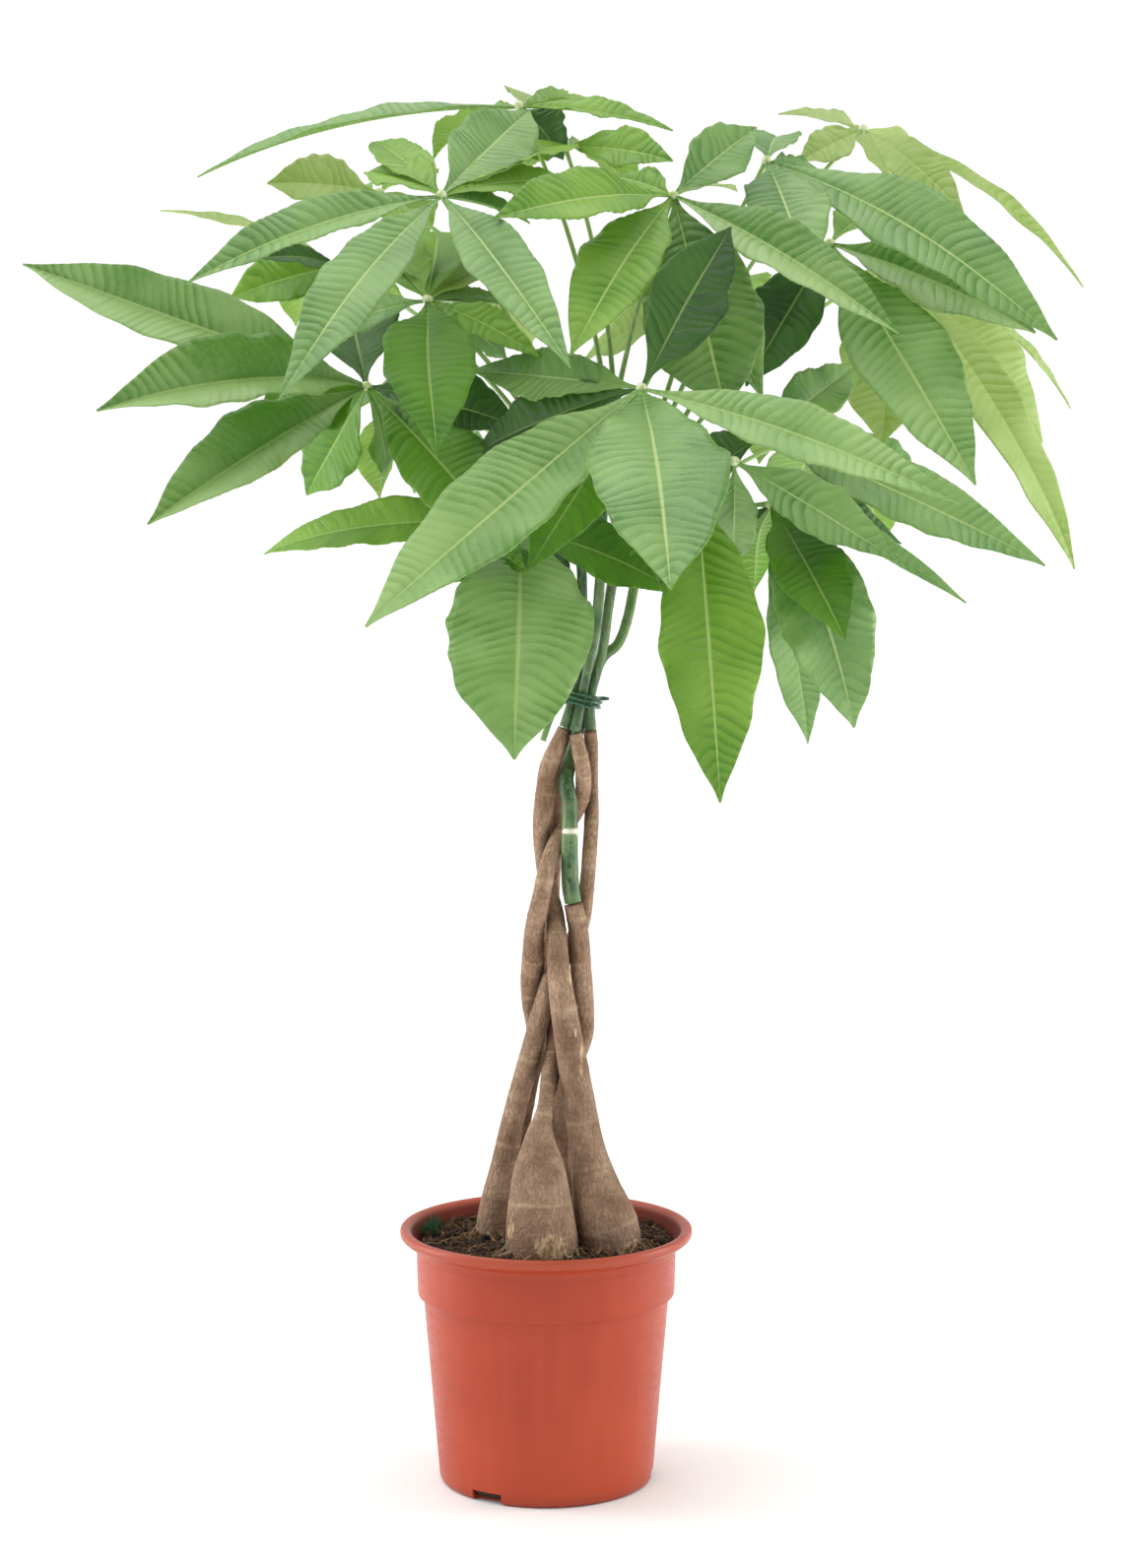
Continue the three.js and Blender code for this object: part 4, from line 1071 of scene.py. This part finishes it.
def woody_stem(index, curves, material):
    """A bark-covered stem: swollen foot, faint rings, knots and lengthwise ridges."""
    rng = dice(50, index)
    points, radii = curves[index][:, :3], curves[index][:, 3]
    lengths, angles = lengths_along(points), around(STEM_SIDES)
    lumps = ripples(7, (1, 5), (0.02, 0.09), angles, lengths, rng)
    ridges = ripples(10, (7, 19), (0.03, 0.16), angles, lengths, rng)
    relief = (radii * 0.035)[:, None] * lumps + np.minimum(radii * 0.014, 0.3)[:, None] * ridges
    rings, tilts = np.cumsum(rng.uniform(*RING_GAPS, 30)), rng.uniform(-RING_TILT, RING_TILT, 30)
    scar = np.zeros_like(relief)
    for ring, tilt in zip(rings, tilts):
        away = lengths[:, None] - ring - tilt * np.sin(angles + ring)[None]
        scar = np.maximum(scar, np.exp(-((away / RING_WIDTH) ** 2)))
    stem = sweep(points, radii, STEM_SIDES, 0, relief + scar * RING_RELIEF)
    bark_points = stem["points"]
    peeled = spots(bark_points, PEELED.get(index, ()), soft=True) * facing_viewer(bark_points, points)
    speckle = rng.uniform(0.2, 1, scar.shape) * (rng.random((len(points), 1)) > 0.35)
    # Where stems lie against each other, for the painted shade.
    hollow_shade = hollow_shade_mask(bark_points, curves[:index] + curves[index + 1:])
    marked(stem, hollow_shade, peeled, (scar * speckle).ravel())
    dress(f"stem_bark_{index + 1}", [stem], [material], "bark", f"stem_{index + 1}")


def bud(point, heading, length):
    """A folded young leaf that closes a shoot."""
    t = np.linspace(0, 1, 12)
    radii = 2.6 * np.sin(np.pi * np.clip(0.35 + 0.65 * t, 0, 1)) ** 1.2 + 0.12
    return sweep(point + heading * (t * length)[:, None], radii, 12)


def green_shoot(index, curve, bases, material):
    """A green shoot with swollen leaf joints, its bud, and any pruned stalk."""
    rng = dice(80, index)
    points, radii = curve[:, :3], curve[:, 3]
    lengths = lengths_along(points)
    joints = np.interp(np.array(bases) * (len(points) - 1), np.arange(len(points)), lengths)
    swell = np.exp(-(((lengths[:, None] - joints[None]) / JOINT_WIDTH) ** 2)).max(axis=1)
    relief = ripples(8, (1, 6), (0.03, 0.14), around(SHOOT_SIDES), lengths, rng) * 0.14
    old = np.cumsum(rng.uniform(*SCAR_GAPS, 20))
    old_scar = np.exp(-((lengths[:, None] - old[None]) ** 2)).max(axis=1)
    relief = relief + (JOINT_RELIEF * swell)[:, None] + (SCAR_RELIEF * old_scar)[:, None]
    shoot = sweep(points, radii, SHOOT_SIDES, 0, relief)
    skin = shoot["points"]
    band = np.clip(4 * spots(skin, PALE_BANDS.get(index, ())), 0, 1)
    cut = np.maximum(np.repeat(old_scar * 0.35, SHOOT_SIDES), spots(skin, BROWN_SPOTS.get(index, ())))
    marked(shoot, band, cut, spots(skin, DARK_DOTS.get(index, ())) * facing_viewer(skin, points))
    heading = unit(points[-1] - points[-2])
    parts = [shoot, bud(points[-1] - heading * 2, heading, 10)]
    if index == STUB_SHOOT:
        stub = limb_curve(STUB, SHOOT_STEPS)
        parts.append(sweep(stub[:, :3], stub[:, 3], 14))
    dress(f"green_shoot_{index + 1}", parts, [material], "green_shoot", f"shoot_{index + 1}")


def plant_tie(material):
    """Coated wire wound round the shoots, with both ends turned outwards."""
    centre = place(TIE_CENTRE)
    turn = Vector((0, 0, 1)).rotation_difference(Vector(unit(place(TIE_ABOVE) - centre)))
    share = np.linspace(0, 1, 150)
    angle = TIE_START + 2 * np.pi * TIE_TURNS * share
    height = TIE_PITCH * TIE_TURNS * (share - 0.5)
    coil = np.stack((TIE_RADIUS * np.cos(angle), TIE_RADIUS * np.sin(angle), height), axis=1)
    outwards = (1 + TIE_TAIL / TIE_RADIUS, 1 + TIE_TAIL / TIE_RADIUS, 1)
    foot = coil[0] * outwards + (0, 0, -TIE_TAIL / 2)
    top = coil[-1] * outwards + (0, 0, TIE_WIRE)
    ends = np.linspace(0, 1, 12)[:, None]
    path = np.vstack((foot + (coil[0] - foot) * ends[:-1], coil, coil[-1] + (top - coil[-1]) * ends[1:]))
    path = np.array([turn @ Vector(point) for point in path]) + centre
    relief = 0.22 * np.cos(2 * around(10)[None] + np.linspace(0, 90, len(path))[:, None])
    tie = sweep(path, np.full(len(path), TIE_WIRE - 0.15), 10, 0, relief)
    dress("tie_wire", [tie], [material], "plant_tie", "tie")


# ---- pot
def carve(target, cutters):
    """Cuts mesh objects out of a mesh object and removes them."""
    for cutter in cutters:
        cut = target.modifiers.new("cut", "BOOLEAN")
        cut.operation = "DIFFERENCE"
        cut.solver = "EXACT"
        cut.object = cutter
    graph = bpy.context.evaluated_depsgraph_get()
    carved = bpy.data.meshes.new_from_object(target.evaluated_get(graph))
    target.modifiers.clear()
    target.data = carved
    for cutter in cutters:
        bpy.data.objects.remove(cutter)


def notch_cutter(angle):
    """Block that cuts one drain notch into the pot's foot."""
    deep, wide, high = FOOT_ROUND * 2, NOTCH_WIDTH / 2, NOTCH_HEIGHT
    cos, sin = math.cos(math.radians(angle)), math.sin(math.radians(angle))
    outs = FOOT_RADIUS - deep, FOOT_RADIUS + deep
    corners = [(x, y, z) for x in outs for y in (-wide, wide) for z in (-high, high)]
    points = [(x * cos - y * sin, x * sin + y * cos, z) for x, y, z in corners]
    faces = [[0, 1, 3, 2], [4, 6, 7, 5], [0, 4, 5, 1], [2, 3, 7, 6], [0, 2, 6, 4], [1, 5, 7, 3]]
    return make_object("notch_cutter", [part(np.array(points), faces)], [])


def drain_cutter(number):
    """Cylinder that cuts one drain hole through the pot's floor."""
    turn = 2 * math.pi * number / DRAIN_HOLES
    high = FLOOR_THICKNESS * 1.5
    cutter = lathe([(0, -high), (DRAIN_HOLE_RADIUS, -high), (DRAIN_HOLE_RADIUS, high), (0, high)], 32)
    cutter["points"] = cutter["points"] + DRAIN_HOLE_RING * np.array((math.cos(turn), math.sin(turn), 0))
    return make_object("drain_cutter", [cutter], [])


def near(radius, height, *steps):
    """(radius, height) pairs at steps from one of them."""
    return [(radius + out, height + up) for out, up in steps]


def pot(material):
    """Tapered nursery pot with a stepped collar, a rolled rim, drain notches and holes."""
    foot = (-FOOT_ROUND, 0), (-2.3, 0.5), (-1.1, 1.3), (-0.3, 2.6), (0, FOOT_ROUND), (0.4, FOOT_ROUND + 4)
    flare = (-0.3, -7), (0, -2.5), (0.5, -0.6), (2.2, 1.4)
    lip = (0, 0), (0.75, 1), (1, 3), (0.75, 4.8), (-0.1, 5.7), (-1.4, 6), (-3, 5.8), (-4.6, 5.1), (-6.4, 3.4)
    outline = [
        (0, 0),
        *near(FOOT_RADIUS, 0, *foot),
        *near(BODY_TOP_RADIUS, COLLAR_FOOT, (-0.2, -3), (0, -1.4), (0.5, -0.9)),
        *near(COLLAR_FOOT_RADIUS, COLLAR_FOOT, (-0.7, -0.2), (-0.1, 0.3), (0.1, 1.4)),
        *near(COLLAR_TOP_RADIUS, FLARE_FOOT, *flare),
        *near(RIM_RADIUS, FLARE_FOOT, (-5, 3), (-2.4, 3.7)),
        *near(RIM_RADIUS - 1, POT_HEIGHT - LIP_HEIGHT, *lip),
        *near(COLLAR_TOP_RADIUS, POT_HEIGHT, (1, -5.4), (-0.6, -8), (-WALL, -FLARE_DEPTH)),
        (COLLAR_FOOT_RADIUS - WALL, COLLAR_FOOT + WALL),
        (BODY_TOP_RADIUS - WALL, COLLAR_FOOT),
        (FOOT_RADIUS - WALL, FOOT_ROUND + 1),
        (FOOT_RADIUS - FOOT_ROUND - 1, FLOOR_THICKNESS),
        (0, FLOOR_THICKNESS),
    ]
    made = make_object("nursery_pot", [lathe(outline, POT_SIDES)], [material])
    cutters = [notch_cutter(angle) for angle in NOTCH_ANGLES]
    carve(made, cutters + [drain_cutter(number) for number in range(DRAIN_HOLES)])
    made.data.set_sharp_from_angle(angle=math.radians(50))
    ride(made, "pot_plastic", "pot")


# ---- soil and what lies on it
def soil_height(x, y):
    """Crumbly height of the soil's surface, in mm, at x and y."""
    rng = dice(120)
    height = SOIL_TOP + SOIL_CROWN * np.cos(np.clip(np.hypot(x, y) / LOOSE_REACH, 0, 1) * np.pi / 2)
    for size, tall in SOIL_LUMPS:
        turn, shift = rng.uniform(0, CIRCLE, 3), rng.uniform(0, CIRCLE, 3)
        wavy = sum(
            np.sin((x * np.cos(a) + y * np.sin(a)) * CIRCLE / size + b + np.sin(y / size * 2 + b))
            for a, b in zip(turn, shift)
        )
        height = height + tall * wavy / 3
    return height


def on_ground(x, y, lift):
    """The point at x and y that stands lift mm over the soil."""
    return np.array((x, y, soil_height(x, y) + lift))


def soil(material):
    """Lumpy bed of peat that fills the pot."""
    inset = WALL + SOIL_GAP
    radii = (COLLAR_TOP_RADIUS - inset) * (np.arange(SOIL_RINGS + 1) / SOIL_RINGS) ** 0.9
    below = [
        (COLLAR_FOOT_RADIUS - inset, COLLAR_FOOT + inset + SOIL_GAP),
        (BODY_TOP_RADIUS - inset, COLLAR_FOOT),
        (FOOT_RADIUS - inset, FOOT_ROUND + 1.6),
        (FOOT_RADIUS - FOOT_ROUND - 1.6, FLOOR_THICKNESS + 0.35),
        (0, FLOOR_THICKNESS + 0.35),
    ]
    bed = marked(lathe([(radius, 0) for radius in radii] + below, SOIL_SPOKES, flip=True), 0.35)
    x, y, z = bed["points"].T
    top = SOIL_RINGS * SOIL_SPOKES
    z[:top] = soil_height(x[:top], y[:top])
    z[top - SOIL_SPOKES : top] -= 2
    z[-2] = soil_height(0.0, 0.0)
    dress("peat_bed", [bed], [material], "soil", "soil")


def pebble(centre, size, rng):
    """An irregular crumb."""
    tilts = np.linspace(-np.pi / 2, np.pi / 2, 7)
    crumb = lathe(np.stack((np.cos(tilts), np.sin(tilts)), axis=1), 7)
    points = crumb["points"] * rng.uniform(0.72, 1.2, (len(crumb["points"]), 1))
    points = points * rng.uniform(0.55, 1.2, 3) * size
    turn = rng.uniform(0, CIRCLE)
    spin = np.array(((math.cos(turn), -math.sin(turn), 0), (math.sin(turn), math.cos(turn), 0), (0, 0, 1)))
    crumb["points"] = points @ spin.T + centre
    return marked(crumb, rng.random())


def stem_feet(curves):
    """x, y and radius of each stem where it leaves the soil."""
    rows = [curve[np.argmax(curve[:, 2] > SOIL_TOP + 2)] for curve in curves]
    return [(x, y, wide) for x, y, _, wide in rows]


def free_places(count, rng, feet):
    """Random places on the soil that no stem stands on."""
    found = []
    while len(found) < count:
        radius, turn = LOOSE_REACH * math.sqrt(rng.random()), rng.uniform(0, 2 * math.pi)
        x, y = radius * math.cos(turn), radius * math.sin(turn)
        if all(math.hypot(x - foot_x, y - foot_y) > wide - 1 for foot_x, foot_y, wide in feet):
            found.append((x, y))
    return found


def crumbs(feet, rng):
    """Crumbs of peat and bark chips over the soil."""
    for x, y in free_places(CRUMBS, rng, feet):
        size = rng.uniform(0.7, 1.7) if rng.random() < 0.85 else rng.uniform(1.8, 3.4)
        yield pebble(on_ground(x, y, size * 0.25), size, rng)


def fibre(start, heading, length, radius, lift, rng, slot):
    """A thin bent fibre that lies on the soil."""
    t = np.linspace(0, 1, 9)
    turn = heading + rng.uniform(-1.6, 1.6) * t
    steps = np.stack((np.cos(turn), np.sin(turn)), axis=1) * (length / 8)
    flat = np.array(start) + np.cumsum(steps, axis=0) - steps[0]
    inside = np.minimum(1, LOOSE_REACH / np.maximum(np.hypot(*flat.T), 1e-6))
    x, y = (flat * inside[:, None]).T
    z = soil_height(x, y) + lift * np.sin(np.pi * t) + 0.5
    return marked(sweep(np.column_stack((x, y, z)), radius * (1 - 0.6 * t), 5, slot), rng.random())


def fibres(feet, rng):
    """Straw-coloured coco fibres and dark rootlets over the soil."""
    for spot in free_places(FIBRES, rng, feet):
        slot = 0 if rng.random() < 0.6 else 1
        length, radius = rng.uniform(7, 26), rng.uniform(0.16, 0.34)
        yield fibre(spot, rng.uniform(0, CIRCLE), length, radius, rng.uniform(0, 3.5), rng, slot)


def foot_root(x, y, wide, turn, rng):
    """Points and radii of one root from a stem's foot, where it lies in the pot."""
    turn = turn + rng.uniform(-0.25, 0.25)
    length, thick = rng.uniform(8, 20), rng.uniform(0.7, 1.7) * min(1, wide / 12)
    t = np.linspace(0, 1, 10)
    bend = turn + rng.uniform(-0.9, 0.9) * t
    out = wide - 2.5 + length * t
    x, y = x + out * np.cos(bend), y + out * np.sin(bend)
    z = soil_height(x, y) + (rng.uniform(3, 8) * (1 - t) ** 2 - 1.6 * t)
    keep = np.hypot(x, y) < LOOSE_REACH
    return np.column_stack((x, y, z))[keep], (thick * (1 - 0.7 * t) + 0.15)[keep]


def root_feet(feet, rng):
    """Small roots that leave the stems' swollen feet and go into the soil, with fine hairs."""
    for x, y, wide in feet:
        turns = np.linspace(0, 2 * np.pi, 5 + round(wide * 0.7), endpoint=False)
        for turn in turns + rng.uniform(0, 1):
            points, radii = foot_root(x, y, wide, turn, rng)
            if len(points) > 3:
                yield marked(sweep(points, radii, 9), 0.1, 0, rng.uniform(0, 0.5))
        for _ in range(round(wide * 2.2)):
            turn = rng.uniform(0, CIRCLE)
            start = (x + wide * 0.98 * math.cos(turn), y + wide * 0.98 * math.sin(turn))
            length, radius = rng.uniform(5, 15), rng.uniform(0.14, 0.3)
            yield fibre(start, turn + rng.uniform(-1, 1), length, radius, rng.uniform(1, 5), rng, 1)


def moss(rng):
    """A tuft of moss at the pot's left wall."""
    t = np.linspace(0, 1, 4)
    for _ in range(MOSS_BLADES):
        x, y = on_soil(rng.normal(436, 4.5), rng.uniform(1231, 1256))
        if math.hypot(x, y) <= LOOSE_REACH + 1:
            tall = rng.uniform(4, 13)
            lean = unit(np.array((*rng.normal(0, 0.45, 2), 1)))
            blade = sweep(on_ground(x, y, -0.5) + lean * tall * t[:, None], 0.42 * (1.05 - t), 4)
            yield marked(blade, rng.random())


def dark_chips(rng):
    """Wet dark chips of bark in front of the stems."""
    for _ in range(DARK_CHIPS):
        x, y = on_soil(rng.uniform(508, 590), rng.uniform(1266, 1284))
        if math.hypot(x, y) < LOOSE_REACH:
            size = rng.uniform(1.6, 3.6)
            yield pebble(on_ground(x, y, size * 0.35), size, rng)


# ---- camera, light and floor
def stand(name, data, spot, rotation):
    """A camera or light at its place."""
    made = bpy.data.objects.new(name, data)
    made.location = spot
    made.rotation_euler = rotation
    bpy.context.scene.collection.objects.link(made)
    return made


def camera():
    """The photograph's viewpoint."""
    data = bpy.data.cameras.new("camera")
    data.lens = FOCAL / LONG_SIDE * SENSOR
    data.sensor_width = SENSOR
    data.clip_end = 50
    made = stand("camera", data, Vector(EYE) * MM, (math.pi / 2 - PITCH, 0, 0))
    bpy.context.scene.camera = made


def light(name, kind, spot, aim, energy):
    """A studio light of Blender's area or sun kind that looks at aim."""
    data = bpy.data.lights.new(name, kind)
    data.energy = energy
    stand(name, data, spot, (Vector(aim) - Vector(spot)).to_track_quat("-Z", "Y").to_euler())
    return data


def surroundings():
    """White surroundings, full near the horizon and softer overhead."""
    world = bpy.data.worlds.new("surroundings")
    world.use_nodes = True
    tree = world.node_tree
    ground_up = tree.nodes.new("ShaderNodeSeparateXYZ")
    tree.links.new(tree.nodes.new("ShaderNodeTexCoord").outputs["Generated"], ground_up.inputs[0])
    fall = tree.nodes.new("ShaderNodeMapRange")
    fall.interpolation_type = "SMOOTHSTEP"
    steps = {"From Min": 0.14, "From Max": 0.4, "To Min": HORIZON_LIGHT, "To Max": DOME_LIGHT}
    for key, value in steps.items():
        fall.inputs[key].default_value = value
    tree.links.new(ground_up.outputs[2], fall.inputs["Value"])
    background = tree.nodes["Background"]
    background.inputs["Color"].default_value = (1, 1, 1, 1)
    tree.links.new(fall.outputs[0], background.inputs["Strength"])
    bpy.context.scene.world = world


def studio():
    """Pale floor, white surroundings, a broad overhead light and a softbox on each side."""
    corners = np.array(((-1, -1, 0), (1, -1, 0), (1, 1, 0), (-1, 1, 0))) * FLOOR_REACH
    make_object("floor", [part(corners, [[0, 1, 2, 3]])], [floor_paint()])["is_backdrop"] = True
    surroundings()
    overhead = light("overhead", "SUN", OVERHEAD_FROM, (0, 0, 0), OVERHEAD_LIGHT)
    overhead.angle = math.radians(OVERHEAD_SPREAD)
    for name, across in SOFTBOXES:
        box = light(name, "AREA", (across, SOFTBOX_BACK, SOFTBOX_HEIGHT), (0, 0, 0.3), SOFTBOX_LIGHT)
        box.shape = "RECTANGLE"
        box.size, box.size_y = SOFTBOX_SIZE
    bpy.context.scene.view_settings.view_transform = "Standard"


# ---- the plant in its pot
def crown(shoots):
    """The leaves on their shoots."""
    hub = mottled("leaf_hub", (168, 190, 116), (228, 234, 200), 300, 2, (0.35, 0.7), 0.5, (0.0005, 0.6))
    upper = {tone: leaf_upper(tone) for tone in TONES}
    under = {tone: leaf_under(tone) for tone in TONES}
    materials = {"stalk": stalk_green(), "hub": hub, "upper": upper, "under": under}
    for name, frond in FRONDS.items():
        palmate_leaf(name, frond, [curve[:, :3] for curve in shoots], materials)


def plant():
    """Every piece of the plant and its pot."""
    bark_skin, skin = bark(), shoot_skin()
    pot(pot_plastic())
    soil(crumbly("peat", (22, 13, 8), (76, 50, 33), 160))
    stems = [limb_curve(rows, STEM_STEPS) for rows in STEMS]
    shoots = [limb_curve(rows, SHOOT_STEPS) for rows in SHOOTS]
    for index in range(len(stems)):
        woody_stem(index, stems, bark_skin)
    for index, curve in enumerate(shoots):
        bases = [frond.along for frond in FRONDS.values() if frond.shoot == index]
        green_shoot(index, curve, bases, skin)
    gloss = {"Coat Weight": 0.5, "Coat Roughness": 0.1}
    coat = mottled("tie_coat", (12, 52, 32), (34, 104, 62), 900, 2, (0.4, 0.6), 0.22, (0.0005, 0.8), gloss)
    plant_tie(coat)
    crown(shoots)
    feet = stem_feet(stems)
    crumb = crumbly("peat_crumb", (20, 12, 7), (92, 62, 40), 200)
    straw = crumbly("straw_fibre", (92, 62, 38), (190, 150, 100), 300, 0.8)
    rootlet = crumbly("dark_rootlet", (44, 28, 18), (104, 74, 50), 300, 0.9)
    green = crumbly("moss", (12, 50, 30), (48, 104, 60), 300, 0.7)
    wet = mottled("wet_chip", (16, 15, 16), (52, 48, 46), 700, 3, (0.3, 0.7), 0.24, (0.0008, 0.8))
    dress("peat_crumbs", crumbs(feet, dice(130)), [crumb], "soil")
    dress("soil_fibres", fibres(feet, dice(140)), [straw, rootlet], "soil")
    dress("root_feet", root_feet(feet, dice(150)), [bark_skin, straw], "bark")
    dress("moss_tuft", moss(dice(160)), [green], "soil")
    dress("dark_chips", dark_chips(dice(170)), [wet], "soil")


camera()
studio()
plant()

boxes = {"cad": cad_box, "visual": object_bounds()}
{key: [[float(n) for n in corner] for corner in box] for key, box in boxes.items()}
